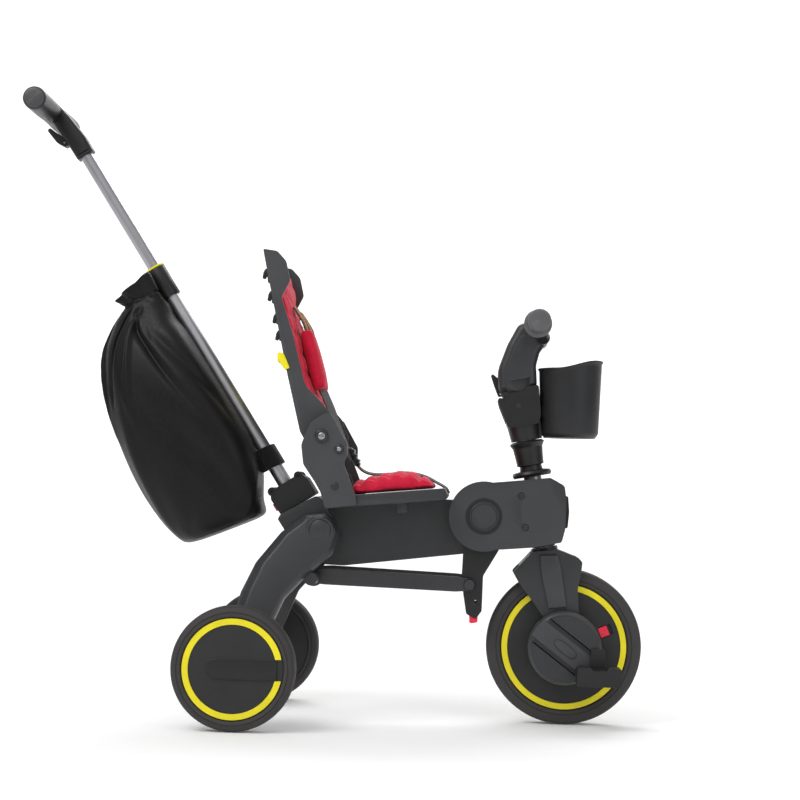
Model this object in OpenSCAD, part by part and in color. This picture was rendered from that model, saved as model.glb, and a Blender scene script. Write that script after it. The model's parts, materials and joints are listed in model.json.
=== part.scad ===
// Folding children's tricycle with a push handle. Millimetres, +X forward, +Y to the rider's left, +Z up.

/* [Wheels] */
// Radius of the front tyre
front_r = 121; // [110:1:130]
// Width of the front tyre
front_w = 44; // [36:1:48]
// Radius of each rear tyre
rear_r = 92; // [80:1:98]
// Width of each rear tyre
rear_w = 42; // [30:1:50]
// Distance between the outer faces of the rear tyres
track_w = 450; // [430:1:520]
// Depth of the tyre rubber over the wheel disc
tyre_depth = 23; // [16:1:26]
// Width of the coloured ring on each wheel
ring_w = 9; // [5:1:12]
// Distance from the crank centre to each pedal spindle
crank_len = 63; // [58:1:68]
// Length of each pedal along its spindle
pedal_len = 46; // [36:1:52]

/* [Frame] */
// Distance between the front axle and the rear axle
wheelbase = 492; // [480:1:510]
// Height of the fold hub above the ground
hub_h = 321; // [318:1:326]
// Height of the rear leg pivot above the ground
leg_pivot_h = 294; // [288:1:298]
// Half of the width of the main beam
beam_half = 44; // [40:0.5:45]
// Thickness of the walls of the main beam
beam_wall = 4; // [3:0.5:6]
// Thickness of each cheek of the head housing
cheek_t = 8; // [5:0.5:12]
// Radius of the fold hub pin
hub_pin_r = 10; // [7:0.5:12]
// Radius of the rear leg pivot shaft
leg_shaft_r = 9; // [7:0.5:11]
// Thickness of each rear leg
leg_t = 26; // [20:1:30]
// Thickness of each side strut
strut_t = 6; // [4:0.5:6.5]
// Lean of the steering axis
steer_tilt = 10.5; // [9:0.5:12]
// Radius of the steering column
column_r = 14; // [11:0.5:15]

/* [Seat] */
// Width of the seat pan
pan_w = 260; // [240:2:280]
// Length of the seat pan
pan_l = 186; // [170:2:190]
// Thickness of the seat cushion
cushion_t = 20; // [14:1:22]
// Width of the backrest shell
back_w = 236; // [220:2:240]
// Wall of the backrest shell
back_wall = 4; // [3:0.5:6]
// Radius of the backrest pivot bolts
back_bolt_r = 5; // [3:0.5:6]

/* [Push handle] */
// Lean of the push handle from the vertical
handle_lean = 32.9; // [31:0.1:35]
// Outer radius of the lower handle tube
lower_tube_r = 11.5; // [10:0.5:14]
// Outer radius of the upper handle tube
upper_tube_r = 10; // [8:0.5:10.5]
// Radius of the push bar
bar_r = 18; // [15:0.5:19]
// Length of the push bar
bar_l = 256; // [200:2:300]

/* [Handlebar and cup] */
// Overall width of the handlebar
handlebar_w = 316; // [280:2:360]
// Radius of the handlebar tube
handlebar_r = 10; // [8:0.5:12]
// Radius of the hand grips
grip_r = 15.5; // [14:0.5:18]
// Radius of the cup at its rim
cup_r = 50; // [44:1:52]
// Wall of the cup
cup_wall = 2.5; // [2:0.5:4]

/* [Hidden] */
$fn = 72;
run_gap = 0.05; // radial gap of a shaft in its bore
gap = 0.4; // space between parts that pass each other
side_gap = 1; // space beside a part that swings
hub = [237, hub_h];
leg_pivot = [-12, leg_pivot_h];
arm_y = [beam_half + side_gap, beam_half + side_gap + 6];
strut_y = [arm_y[1] + side_gap, arm_y[1] + side_gap + strut_t];
rivet_end = strut_y[1] + 4.5;
cheek_y = [rivet_end + side_gap, rivet_end + side_gap + cheek_t];
steer_foot = [322.6, 330];
axle_u = 4.7; // front axle ahead of the steering axis
axle_w = (front_r - steer_foot[1] - axle_u * sin(steer_tilt)) / cos(steer_tilt);
axle_at = [steer_foot[0] + axle_u * cos(steer_tilt) - axle_w * sin(steer_tilt), front_r];
rear_axle = [axle_at[0] - wheelbase, rear_r];
tube_foot = [-79, 366];
strut_pin = [217, 215];
strut_rear = [-24, 220.5];
back_pivot = [-11, 437];
steel = "dimgray";
dark = "#2b2c2e";
grey = "#55565a";
yellow = "#e8dc1c";
red = "#d81838";
alu = "silver";

// ---- shared shapes ----
function unit(v) = v / norm(v);
function fillet(a, b, c) =
    let (u = unit([a[0] - b[0], a[1] - b[1]]), v = unit([c[0] - b[0], c[1] - b[1]]),
         half = acos(u * v) / 2, m = [b[0], b[1]] + unit(u + v) * b[2] / sin(half),
         s = [b[0], b[1]] + u * b[2] / tan(half), e = [b[0], b[1]] + v * b[2] / tan(half),
         a0 = atan2(s[1] - m[1], s[0] - m[0]), a1 = atan2(e[1] - m[1], e[0] - m[0]),
         turn = (a1 - a0 + 540) % 360 - 180)
    [for (i = [0 : 5]) m + b[2] * [cos(a0 + turn * i / 5), sin(a0 + turn * i / 5)]];
// Outline whose points are [x, z, corner radius]
function smooth(p) = [for (i = [0 : len(p) - 1])
    each (p[i][2] == 0 ? [[p[i][0], p[i][1]]]
        : fillet(p[(i + len(p) - 1) % len(p)], p[i], p[(i + 1) % len(p)]))];

// Plate in the XZ plane, between two places along Y
module slab(outline, y0, y1) {
    translate([0, y1, 0]) rotate([90, 0, 0]) linear_extrude(y1 - y0) polygon(smooth(outline));
}
// Rod along Y
module rod(at, y0, y1, r) {
    translate([at[0], y1, at[1]]) rotate([90, 0, 0]) cylinder(h = y1 - y0, r = r);
}
// Rod with a rounded outer edge on its far side
module button_rod(at, y0, y1, r, edge) {
    translate([at[0], y0, at[1]]) rotate([-90, 0, 0]) rotate_extrude()
        polygon(concat([[0, 0], [r, 0]],
            [for (i = [0 : 6]) [r - edge + edge * cos(15 * i), y1 - y0 - edge + edge * sin(15 * i)]],
            [[0, y1 - y0]]));
}
module both() {
    children();
    mirror([0, 1, 0]) children();
}
module on_axle(x, y, z) {
    translate([x, y, z]) rotate([-90, 0, 0]) children();
}
module at_steer() {
    translate([steer_foot[0], 0, steer_foot[1]]) rotate([0, -steer_tilt, 0]) children();
}
module at_tube() {
    translate([tube_foot[0], 0, tube_foot[1]]) rotate([0, -handle_lean, 0]) children();
}
module at_pan() {
    translate([pan_foot[0], 0, pan_foot[1]]) rotate([0, -pan_slope, 0]) children();
}
// Tyre, turned about Y: a crowned tread with rounded shoulders
module tyre(r, w) {
    inner = r - tyre_depth;
    rotate_extrude($fn = 96) polygon(concat([[inner, -w / 2 + 3], [inner, w / 2 - 3]],
        [for (i = [0 : 18]) let (a = 90 - 10 * i) [r - 12 + 12 * pow(cos(a), 0.8), (w / 2) * sin(a)]]));
}
module ring(r) {
    difference() {
        cylinder(h = 1.6, r = r, $fn = 96);
        translate([0, 0, -1]) cylinder(h = 4, r = r - ring_w, $fn = 96);
    }
}

// ---- frame ----
pan_foot = [-3, 328];
pan_slope = 5.6;
knuckle_r = 48;
// Height of the beam's top, just under the seat pan
function beam_top(x) = pan_foot[1] + (x - pan_foot[0]) * tan(pan_slope) - gap / 2;
beam_line = [[-46, 300, 10], [-40, 264, 14], [-12, 240, 20], [22, 239, 30], [207, 262, 40], [237, 272, 10],
    [237, 345, 6], [174, beam_top(174), 20], [-3, beam_top(-3), 8]];
module main_beam() {
    color(dark) difference() {
        union() {
            slab(beam_line, -beam_half, beam_half);
            rod(hub, -beam_half, beam_half, knuckle_r);
        }
        slab([[-34, 300, 4], [-28, 268, 4], [-8, 246, 4], [22, 245, 4], [184, 265, 4], [180, 338, 4],
            [0, 321, 4]], -beam_half + beam_wall, beam_half - beam_wall);
        rod(leg_pivot, -200, 200, leg_shaft_r + run_gap);
        rod(hub, -200, 200, hub_pin_r + run_gap);
    }
}
mount_line = [[-82, 309, 4], [-78, 316, 3], [-24, 346, 6], [-12, 341, 6], [-8, 326, 0], [-22, 318, 8],
    [-38, 290, 20], [-46, 270, 0], [-60, 276, 6]];
mount_half = 84;
// Cross casting on the back of the beam: it carries the handle and spaces the leg pivots
module rear_mount() {
    color(dark) difference() {
        union() {
            slab(mount_line, -mount_half + 22, mount_half - 22);
            both() rod(leg_pivot, beam_half + gap / 2, mount_half, leg_shaft_r + 9);
            both() slab([[-62, 276, 8], [-76, 306, 8], [-12, 338, 8], [12, 300, 8], [-12, 268, 8]],
                beam_half + gap / 2, mount_half - 21);
        }
        slab([[-47, 310, 0], [-47, 290, 0], [-40, 240, 0], [60, 240, 0], [60, 333, 0], [-5, 326.8, 0]],
            -beam_half - gap / 2, beam_half + gap / 2);
        rod(leg_pivot, -200, 200, leg_shaft_r + run_gap);
    }
}
module hub_pin() {
    color(steel) rod(hub, -cheek_y[0] - 4, cheek_y[0] + 4, hub_pin_r);
}
hub_cap_r = 22;
// Round caps that close the hub on both cheeks
module hub_caps() {
    color(grey) both() difference() {
        button_rod(hub, cheek_y[0] + 4 + gap, cheek_y[1] + 4, hub_cap_r, 2);
        on_axle(hub[0], cheek_y[1] + 2.5, hub[1]) ring_groove(hub_cap_r - 3);
    }
}
module ring_groove(r) {
    difference() {
        cylinder(h = 4, r = r + 1);
        translate([0, 0, -1]) cylinder(h = 6, r = r);
    }
}

// ---- head housing ----
head_line = [[215, 370, 10], [284, 377, 8], [338, 383, 10], [360, 371, 8], [363, 350, 6], [362, 304, 8],
    [357, 284, 5], [312, 275, 4], [231, 268, 10]];
block_line = [[296, 375, 3], [338, 380, 5], [357, 367, 5], [360, 350, 5], [359, 304, 6], [354, 286, 3],
    [312, 277, 2], [296, 276, 2]];
module head_half(s) {
    front_wall = 5;
    difference() {
        union() {
            slab(head_line, s > 0 ? cheek_y[0] : -cheek_y[1], s > 0 ? cheek_y[1] : -cheek_y[0]);
            rod(hub, s > 0 ? cheek_y[0] : -cheek_y[1], s > 0 ? cheek_y[1] : -cheek_y[0], 54);
            slab(block_line, s > 0 ? 0 : -beam_half, s > 0 ? beam_half : 0);
            slab([[262, 372, 1], [284, 377, 3], [338, 383, 4], [352, 376, 2], [346, 371, 1], [262, 366, 1]],
                s > 0 ? 0 : -cheek_y[0], s > 0 ? cheek_y[0] : 0);
        }
        slab([[302, 360, 2], [354, 358, 3], [355, 306, 3], [349, 292, 3], [302, 285, 2]],
            -beam_half + front_wall, beam_half - front_wall);
        at_steer() translate([0, 0, -80]) cylinder(h = 160, r = bush_r);
        rod(hub, -cheek_y[0] - 4, cheek_y[0] + 4, hub_pin_r + run_gap);
        both() rod(hub, cheek_y[0] + 4 - gap, cheek_y[1] + 9, hub_cap_r + run_gap);
        lock_pocket();
        for (p = screw_spots) both() rod(p, cheek_y[1] - 3, cheek_y[1] + 9, 5.5);
    }
}
bush_r = column_r + 4;
screw_spots = [[294, 354], [301, 306]];
module head_housing_right() {
    color(grey) head_half(-1);
}
module head_housing_left() {
    color(grey) head_half(1);
}
module head_screws() {
    color(steel) both() for (p = screw_spots) difference() {
        button_rod(p, cheek_y[1] - 3, cheek_y[1] - 0.5, 5.3, 1);
        on_axle(p[0], cheek_y[1] - 1.6, p[1]) cylinder(h = 4, r = 2.4, $fn = 6);
    }
}
// Flanged bushes that the steering column turns in
module steering_bushes() {
    color(dark) at_steer() for (w = [[-56, 12], [34, 16]]) difference() {
        translate([0, 0, w[0]]) cylinder(h = w[1], r = bush_r);
        translate([0, 0, w[0] - 1]) cylinder(h = w[1] + 2, r = column_r + run_gap);
    }
}
lock_travel = 2.5;
module lock_pocket() {
    translate([355, -13 - gap, 304 - gap]) cube([30, 26 + 2 * gap, 52 + 2 * gap]);
}
// Plate on the nose of the housing that locks the steering straight
module steering_lock_button() {
    color(dark) slab([[355 + lock_travel + gap, 356, 0], [369, 355, 3], [371, 330, 10], [369, 305, 3],
        [355 + lock_travel + gap, 304, 0]], -13, 13);
}

// ---- steering ----
module steering_column() {
    color(steel) at_steer() difference() {
        translate([0, 0, -66]) cylinder(h = 186, r = column_r);
        translate([0, 0, -70]) cylinder(h = 200, r = column_r - 3);
    }
}
fork_half = 36;
blade_in = front_w / 2 + 4;
fork_line = [[-20, -60, 4], [-55, -86, 4], [-48, -105, 12], [-33, -134, 40], [-20, -162, 30], [-11, -200, 8],
    [-11, -225, 14], [20, -225, 14], [22, -200, 8], [36, -165, 30], [40, -126, 40], [49, -105, 12],
    [54, -88, 5], [49, -80, 5], [19, -62, 6]];
module fork() {
    color(grey) at_steer() difference() {
        union() {
            slab(fork_line, -fork_half, fork_half);
            translate([0, 0, -66]) cylinder(h = 9, r = 21);
        }
        slab([[-80, -60, 0], [-80, -240, 0], [80, -240, 0], [80, -60, 0], [60, -60, 0], [40, -80, 10],
            [0, -86, 20], [-40, -80, 10]], -blade_in, blade_in);
        translate([0, 0, -75]) cylinder(h = 60, r = column_r);
        rod([axle_u, axle_w], -100, 100, axle_r + 3);
    }
}
axle_r = 5;
// Plastic bushes in the fork ends and in the wheel hub
module wheel_bushes() {
    color(dark) both() difference() {
        rod(axle_at, blade_in, fork_half, axle_r + 3);
        rod(axle_at, blade_in - 1, fork_half + 1, axle_r + run_gap);
    }
}
sleeve_top = 113;
module stem_sleeve() {
    color(dark) at_steer() {
        rotate_extrude() polygon([[column_r, 56], [24, 56], [29, 55.5], [31, 60], [29, 64], [18, 66], [17, 73],
            [21, 74], [22, 88], [23.5, 102], [27.5, 109], [24, 112], [column_r, sleeve_top]]);
    }
}
socket_half = 29;
yoke_pivot = [-4, 168];
module yoke_socket() {
    color(dark) difference() {
        union() {
            at_steer() translate([0, 0, sleeve_top + gap]) cylinder(h = 26, r1 = 24, r2 = 27);
            at_steer() slab([[-26, 136, 4], [-34, 172, 10], [-35, 186, 3], [-22, 182, 2], [-19, 190, 3],
                [10, 190, 3], [14, 196, 2], [32, 196, 4], [28, 150, 6], [22, 136, 4]],
                -socket_half, socket_half);
            cup_hook();
        }
        at_steer() slab([[-60, 145, 0], [60, 145, 0], [60, 220, 0], [-60, 220, 0]],
            -yoke_half - gap, yoke_half + gap);
        at_steer() rod(yoke_pivot, -60, 60, pin_r + run_gap);
        at_steer() translate([0, 0, 90]) cylinder(h = sleeve_top + gap - 90, r = 28);
        at_steer() translate([0, 0, 90]) cylinder(h = 31, r = column_r);
        cup_solid(gap);
    }
}
pin_r = 5;
yoke_half = 20;
module yoke_pin() {
    color(steel) at_steer() rod(yoke_pivot, -socket_half + 2, socket_half - 2, pin_r);
}
bar_at = [50, 266];
module handlebar_yoke() {
    color(grey) at_steer() difference() {
        union() {
            slab([[-22, 168, 4], [-30, 200, 16], [-24, 230, 40], [-1, 265, 40], [24, 296, 10], [44, 290, 10],
                [58, 268, 8], [38, 246, 10], [31, 226, 20], [28, 200, 10], [22, 170, 6]], -yoke_half, yoke_half);
            rod(yoke_pivot, -yoke_half, yoke_half, 20);
            slab([[-30, 202, 6], [-24, 230, 40], [-1, 265, 40], [22, 294, 8], [40, 288, 8], [52, 268, 4],
                [34, 246, 8], [30, 226, 20], [28, 202, 6]], -30, 30);
        }
        rod(yoke_pivot, -60, 60, pin_r + run_gap);
        rod(bar_at, -60, 60, handlebar_r);
        latch_pocket();
    }
}
latch_pivot = [-28, 192];
module latch_pocket() {
    slab([[-60, 182, 0], [-60, 240, 0], [-14, 240, 3], [-14, 192, 3], [-20, 182, 2]], -9 - gap, 9 + gap);
}
// Finger latch behind the stem that frees the folding handlebar
module handlebar_latch() {
    color(dark) at_steer() difference() {
        union() {
            slab([[-33, 188, 3], [-37, 208, 6], [-39, 223, 2], [-36, 225, 2], [-28, 216, 4], [-21, 200, 6],
                [-23, 188, 3]], -9, 9);
        }
        rod(latch_pivot, -20, 20, 2);
    }
}
// Middle of the handlebar runs through the yoke, and both ends rise to the grips
module handlebar_tube() {
    color(dark) at_steer() {
        rod(bar_at, -44, 44, handlebar_r);
        both() {
            translate([bar_at[0], 44, bar_at[1]]) sphere(r = handlebar_r + 0.6);
            bar_rise();
            translate([grip_at[0], grip_in, grip_at[1]]) sphere(r = handlebar_r + 0.6);
            rod(grip_at, grip_in, handlebar_w / 2 - 6, handlebar_r);
        }
    }
}
grip_at = [43, 285];
grip_in = 84;
module bar_rise() {
    run = [grip_at[0] - bar_at[0], grip_in - 44, grip_at[1] - bar_at[1]];
    translate([bar_at[0], 44, bar_at[1]]) rotate([0, acos(run[2] / norm(run)), atan2(run[1], run[0])])
        cylinder(h = norm(run), r = handlebar_r);
}
// Hand grips, each with its separate end cap
module grips() {
    color(dark) at_steer() both() {
        difference() {
            union() {
                rod(grip_at, grip_in + 8, handlebar_w / 2 - 8, grip_r);
                button_rod(grip_at, grip_in + 6, grip_in + 14, grip_r + 6, 3);
            }
            rod(grip_at, grip_in, handlebar_w / 2, handlebar_r);
        }
        difference() {
            button_rod(grip_at, handlebar_w / 2 - 8, handlebar_w / 2, grip_r + 2, 5);
            rod(grip_at, handlebar_w / 2 - 9, handlebar_w / 2 - 6, handlebar_r);
        }
    }
}
cup_x = 369;
cup_floor = 446;
cup_h = 122;
// Hook on the front of the socket that carries the cup
module cup_hook() {
    slab([[300, 446, 3], [316, 470, 6], [316, 480, 2], [322, 478, 2], [325, 456, 4], [326, 440, 3],
        [310, 436, 4]], -14, 14);
}
// Outer shape of the cup, grown by a clearance
module cup_solid(grow) {
    translate([cup_x, 0, cup_floor - grow]) cylinder(h = 8, r1 = cup_r - 9 + grow, r2 = cup_r - 5 + grow);
    translate([cup_x, 0, cup_floor + 8 - grow]) cylinder(h = cup_h - 8, r1 = cup_r - 5 + grow, r2 = cup_r + grow);
}
// Open cup with a rim that rises to the front
module cup() {
    color(dark) difference() {
        cup_solid(0);
        translate([cup_x, 0, cup_floor + cup_wall]) cylinder(h = cup_h, r = cup_r - 9.5 - cup_wall);
        translate([cup_x, 0, cup_floor + 8]) cylinder(h = cup_h - 7, r1 = cup_r - 5 - cup_wall,
            r2 = cup_r - cup_wall);
        translate([cup_x - 60, -80, cup_floor + cup_h - 14]) rotate([0, -7.5, 0]) cube([200, 160, 60]);
    }
}

// ---- front wheel ----
disc_r = front_r - tyre_depth;
disc_half = front_w / 2 - 3;
module front_tyre() {
    color(dark) on_axle(axle_at[0], 0, axle_at[1]) tyre(front_r, front_w);
}
module front_wheel_disc() {
    color(dark) on_axle(axle_at[0], 0, axle_at[1]) difference() {
        union() {
            cylinder(h = 2 * disc_half, r = disc_r, center = true, $fn = 96);
            cylinder(h = 2 * blade_in - 2, r = 14, center = true);
        }
        cylinder(h = 80, r = axle_r + run_gap, center = true);
        rotate([0, 0, -clutch_angle]) translate([clutch_r - 10, -8, -disc_half - 1]) cube([20, 16, 5]);
    }
}
clutch_r = 69;
clutch_angle = 22;
module front_wheel_rings() {
    color(yellow) on_axle(axle_at[0], 0, axle_at[1]) {
        translate([0, 0, disc_half]) ring(disc_r - 1);
        translate([0, 0, -disc_half - 1.6]) ring(disc_r - 1);
    }
}
// Slider that couples the wheel to the cranks
module clutch_slider() {
    color(red) on_axle(axle_at[0], 0, axle_at[1]) rotate([0, 0, -clutch_angle])
        translate([clutch_r - 9.5, -7.5, -disc_half - 1.5]) cube([14, 15, 5]);
}
crank_y = [fork_half + 2, fork_half + 26];
pedal_angle = -37;
pedal_at = [for (s = [1, -1]) axle_at + s * crank_len * [cos(pedal_angle), sin(pedal_angle)]];
spindle_r = 4;
module crank_axle() {
    color(steel) rod(axle_at, -crank_y[1] + 6, crank_y[1] - 6, axle_r);
}
module crank(p) {
    difference() {
        union() {
            button_rod(axle_at, crank_y[0], crank_y[1] - 4, 57, 9);
            rod(p, crank_y[0] + 5, crank_y[1] - 4, 12);
            intersection() {
                crank_band(p, 15, crank_y[0] + 5, crank_y[1]);
                union() {
                    rod(axle_at, crank_y[0], crank_y[1], 55);
                    rod(p, crank_y[0], crank_y[1], 12);
                }
            }
        }
        rod(axle_at, crank_y[0] - 1, crank_y[1] - 6, axle_r);
        rod(p, crank_y[0], crank_y[1] + 1, spindle_r + run_gap);
    }
}
// Straight band across the crank disc, towards the pedal
module crank_band(p, half, y0, y1) {
    d = unit(p - axle_at);
    n = [-d[1], d[0]] * half;
    slab([concat(axle_at - 60 * d + n, 0), concat(axle_at + 90 * d + n, 0), concat(axle_at + 90 * d - n, 0),
        concat(axle_at - 60 * d - n, 0)], y0, y1);
}
module crank_right() {
    color(grey) mirror([0, 1, 0]) crank(pedal_at[0]);
}
module crank_left() {
    color(grey) crank(pedal_at[1]);
}
// Pedal: two tread pads joined by a hub bar, an upright guard inboard, and its spindle
module pedal(p) {
    y0 = crank_y[1] + 2;
    y1 = y0 + pedal_len;
    rod(p, crank_y[0] + 8, y1 - 1, spindle_r);
    difference() {
        union() {
            slab([[p[0] - 34, p[1] - 14, 3], [p[0] + 34, p[1] - 14, 3], [p[0] + 34, p[1] + 14, 5],
                [p[0] + 14, p[1] + 14, 3], [p[0] + 10, p[1] + 10, 2], [p[0] - 10, p[1] + 10, 2],
                [p[0] - 14, p[1] + 14, 3], [p[0] - 34, p[1] + 14, 5]], y0 + 6, y1);
            slab([[p[0] - 11, p[1] - 12, 3], [p[0] + 11, p[1] - 12, 3], [p[0] + 11, p[1] + 40, 5],
                [p[0] - 11, p[1] + 40, 5]], y0, y0 + 6);
        }
        rod(p, y0 - 1, y1 - 1, spindle_r);
        for (dy = [1 : 4]) translate([p[0] - 40, y0 + 8 + 8 * dy, p[1] + 12]) cube([80, 3, 5]);
    }
}
module pedal_right() {
    color(dark) mirror([0, 1, 0]) pedal(pedal_at[0]);
}
module pedal_left() {
    color(dark) pedal(pedal_at[1]);
}

// ---- fold linkage ----
arm_line = [[207, 290, 4], [205, 232, 6], [208, 200, 4], [213, 170, 4], [228, 162, 4], [237, 175, 4],
    [238, 229, 10], [262, 270, 8], [256, 300, 4]];
module fold_arms() {
    color(dark) both() difference() {
        union() {
            slab(arm_line, arm_y[0], arm_y[1]);
            rod(hub, arm_y[0], arm_y[1], 30);
        }
        rod(hub, 0, 200, hub_pin_r + run_gap);
        rod(strut_pin, 0, 200, rivet_r);
        rod(arm_hole, 0, 200, 3.5);
        slab([[tab_x[0] - gap, 182, 0], [tab_x[0] - gap, 150, 0], [tab_x[1] + gap, 150, 0],
            [tab_x[1] + gap, 182, 0]], arm_y[0] + 1.2, arm_y[1] - 1.2);
    }
}
rivet_r = 4;
arm_hole = [227, 188];
tab_x = [218, 231];
// Red tabs in the ends of the arms that free the fold
module fold_release_tab() {
    color(red) both() slab([[tab_x[0], 177, 1], [tab_x[1], 177, 1], [tab_x[1], 157, 3], [tab_x[0], 155, 3]],
        arm_y[0] + 1.2 + gap, arm_y[1] - 1.2 - gap);
}
pivot_play = 4.6; // the open pivot of the linkage
module side_struts() {
    color(steel) both() difference() {
        union() {
            slab([concat(strut_rear + [-12, -9], 6), concat(strut_rear + [20, -11], 0),
                concat(strut_pin + [-22, -11], 0), concat(strut_pin + [8, -9], 6), concat(strut_pin + [8, 9], 6),
                concat(strut_pin + [-22, 12], 0), concat(strut_rear + [20, 14], 0),
                concat(strut_rear + [-12, 12], 6)], strut_y[0], strut_y[1]);
            rod(strut_rear, strut_y[0], strut_y[1], 14);
        }
        rod(strut_pin, -200, 200, rivet_r + run_gap);
        rod(strut_rear, -200, 200, rear_pin_r + pivot_play);
    }
}
rear_pin_r = 5;
module strut_rivets() {
    color(steel) both() {
        rod(strut_pin, arm_y[0], strut_y[1] + gap, rivet_r);
        intersection() {
            translate([strut_pin[0], strut_y[1] + gap, strut_pin[1]]) sphere(r = 9);
            rod(strut_pin, strut_y[1] + gap, rivet_end, 12);
        }
    }
}

// ---- rear legs ----
leg_in = mount_half + gap;
foot_y = track_w / 2 - rear_w - 3;
leg_splay = atan((foot_y - leg_in - leg_t - 13.2) / (leg_pivot_h - rear_r));
foot_shift = [rear_axle[0] - leg_pivot[0] + 114, (rear_r - leg_pivot[1]) / cos(leg_splay) + 210];
// Leg outline from the pivot: each point moves with the axle by its own share
function leg_pt(x, z, r, share) = [x + share * foot_shift[0], z + share * foot_shift[1], r];
leg_line = [leg_pt(-24, 24, 8, 0), leg_pt(-60, -4, 20, 0.1), leg_pt(-96, -52, 30, 0.3),
    leg_pt(-116, -98, 20, 0.5), leg_pt(-126, -135, 20, 0.7), leg_pt(-136, -190, 20, 1),
    leg_pt(-130, -232, 16, 1), leg_pt(-96, -232, 16, 1), leg_pt(-84, -190, 20, 1), leg_pt(-65, -143, 20, 0.7),
    leg_pt(-50, -106, 20, 0.5), leg_pt(-24, -76, 20, 0.3), leg_pt(20, -34, 16, 0.1), leg_pt(30, -4, 18, 0),
    leg_pt(14, 28, 18, 0)];
stub_r = 6;
module rear_leg() {
    difference() {
        union() {
            translate([leg_pivot[0], leg_in + leg_t / 2, leg_pivot[1]]) rotate([leg_splay, 0, 0])
                slab(leg_line, -leg_t / 2, leg_t / 2);
            rod(leg_pivot, leg_in, leg_in + leg_t + 4, 24);
            rod(rear_axle, foot_y - 30, foot_y, 18);
            rod(strut_rear, strut_y[1] + side_gap, leg_in + 30, 10);
        }
        rod(leg_pivot, leg_in - 5, leg_in + leg_t, leg_shaft_r);
        translate([-200, leg_in - 60, leg_pivot[1] - 26]) cube([300, 60, 60]);
        translate([-200, foot_y, 0]) cube([300, 60, 400]);
        rod(rear_axle, foot_y - 24, foot_y + 5, stub_r);
        rod(strut_rear, strut_y[0] - 9, leg_in + 4, rear_pin_r);
    }
}
module rear_leg_right() {
    color(grey) mirror([0, 1, 0]) rear_leg();
}
module rear_leg_left() {
    color(grey) rear_leg();
}
// Cross shaft that both legs turn on, with the pins that the struts hook over
module rear_pivot_shaft() {
    color(steel) {
        rod(leg_pivot, -leg_in - leg_t, leg_in + leg_t, leg_shaft_r);
        both() rod(strut_rear, strut_y[0] - 2, leg_in + 4, rear_pin_r);
    }
}
module rear_stub_axles() {
    color(steel) both() rod(rear_axle, foot_y - 24, track_w / 2 - 8, stub_r);
}
module rear_wheel() {
    half = rear_w / 2;
    on_axle(rear_axle[0], track_w / 2 - half, rear_r) {
        difference() {
            cylinder(h = rear_w - 5, r = rear_r - tyre_depth * 0.75, center = true, $fn = 96);
            translate([0, 0, -half]) cylinder(h = rear_w - 8, r = stub_r + run_gap);
        }
        translate([0, 0, half - 2.5]) linear_extrude(2) label_bar();
    }
}
// Plain raised bar on the wheel face, rounded at the middle of the wheel
module label_bar() {
    translate([-22, 0]) circle(r = 15);
    translate([-22, -15]) square([88, 30]);
}
rear_disc_r = rear_r - tyre_depth * 0.75;
module rear_wheel_right() {
    color(dark) mirror([0, 1, 0]) rear_wheel();
}
module rear_wheel_left() {
    color(dark) rear_wheel();
}
module rear_tyre() {
    on_axle(rear_axle[0], track_w / 2 - rear_w / 2, rear_r) rotate_extrude($fn = 96)
        polygon(concat([[rear_disc_r, -rear_w / 2 + 2], [rear_disc_r, rear_w / 2 - 2]],
            [for (i = [0 : 18]) let (a = 90 - 10 * i)
                [rear_r - 9 + 9 * pow(cos(a), 0.8), (rear_w / 2) * sin(a)]]));
}
module rear_tyre_right() {
    color(dark) mirror([0, 1, 0]) rear_tyre();
}
module rear_tyre_left() {
    color(dark) rear_tyre();
}
module rear_ring() {
    on_axle(rear_axle[0], track_w / 2 - 2.5, rear_r) difference() {
        ring(rear_disc_r - 1);
        translate([-22, -15 - gap, -1]) cube([100, 30 + 2 * gap, 4]);
    }
}
module rear_ring_right() {
    color(yellow) mirror([0, 1, 0]) rear_ring();
}
module rear_ring_left() {
    color(yellow) rear_ring();
}

// ---- seat ----
pan_half = pan_w / 2;
pan_t = 17.5;
side_room = 12; // space beside the backrest shell, inside the brackets
bracket_in = max(pan_half, back_w / 2 + side_room) + gap / 2;
module seat_pan() {
    color(grey) at_pan() {
        slab([[0, 0, 2], [pan_l - 4, 0, 3], [pan_l, 6, 3], [pan_l - 4, pan_t, 4], [0, pan_t, 2]],
            -pan_half, pan_half);
        both() {
            slab([[4, pan_t - 1, 0], [8, pan_t + 34, 4], [26, pan_t + 34, 4], [34, pan_t - 1, 0]],
                pan_half - 18, bracket_in - gap / 2);
            slab([[106, -15, 2], [122, -15, 2], [122, 1, 0], [106, 1, 0]], pan_half - 30, pan_half - 26);
        }
    }
}
// Seat cushion with sewn channels across it
module seat_cushion() {
    color(red) at_pan() slab([[38, pan_t + gap, 3], [172, pan_t + gap, 2], [168, pan_t + 7, 4],
        [154, pan_t + 14, 8], [134, pan_t + cushion_t + 2, 10], [108, pan_t + cushion_t + 2, 20],
        [60, pan_t + cushion_t - 1, 20], [38, pan_t + cushion_t - 2, 8]], -pan_half + 6, pan_half - 6);
}
bracket_t = 6;
bracket_line = [[-28, 458, 16], [-4, 474, 10], [4, 468, 6], [28, 426, 12], [28, 408, 10], [23, 397, 6],
    [42, 350, 6], [44, 335, 3], [-3, 328, 3], [-11, 353, 10], [-20, 368, 14], [-38, 394, 14], [-42, 424, 20]];
stop_at = [16, 418];
pan_screw = [11, 362];
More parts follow.
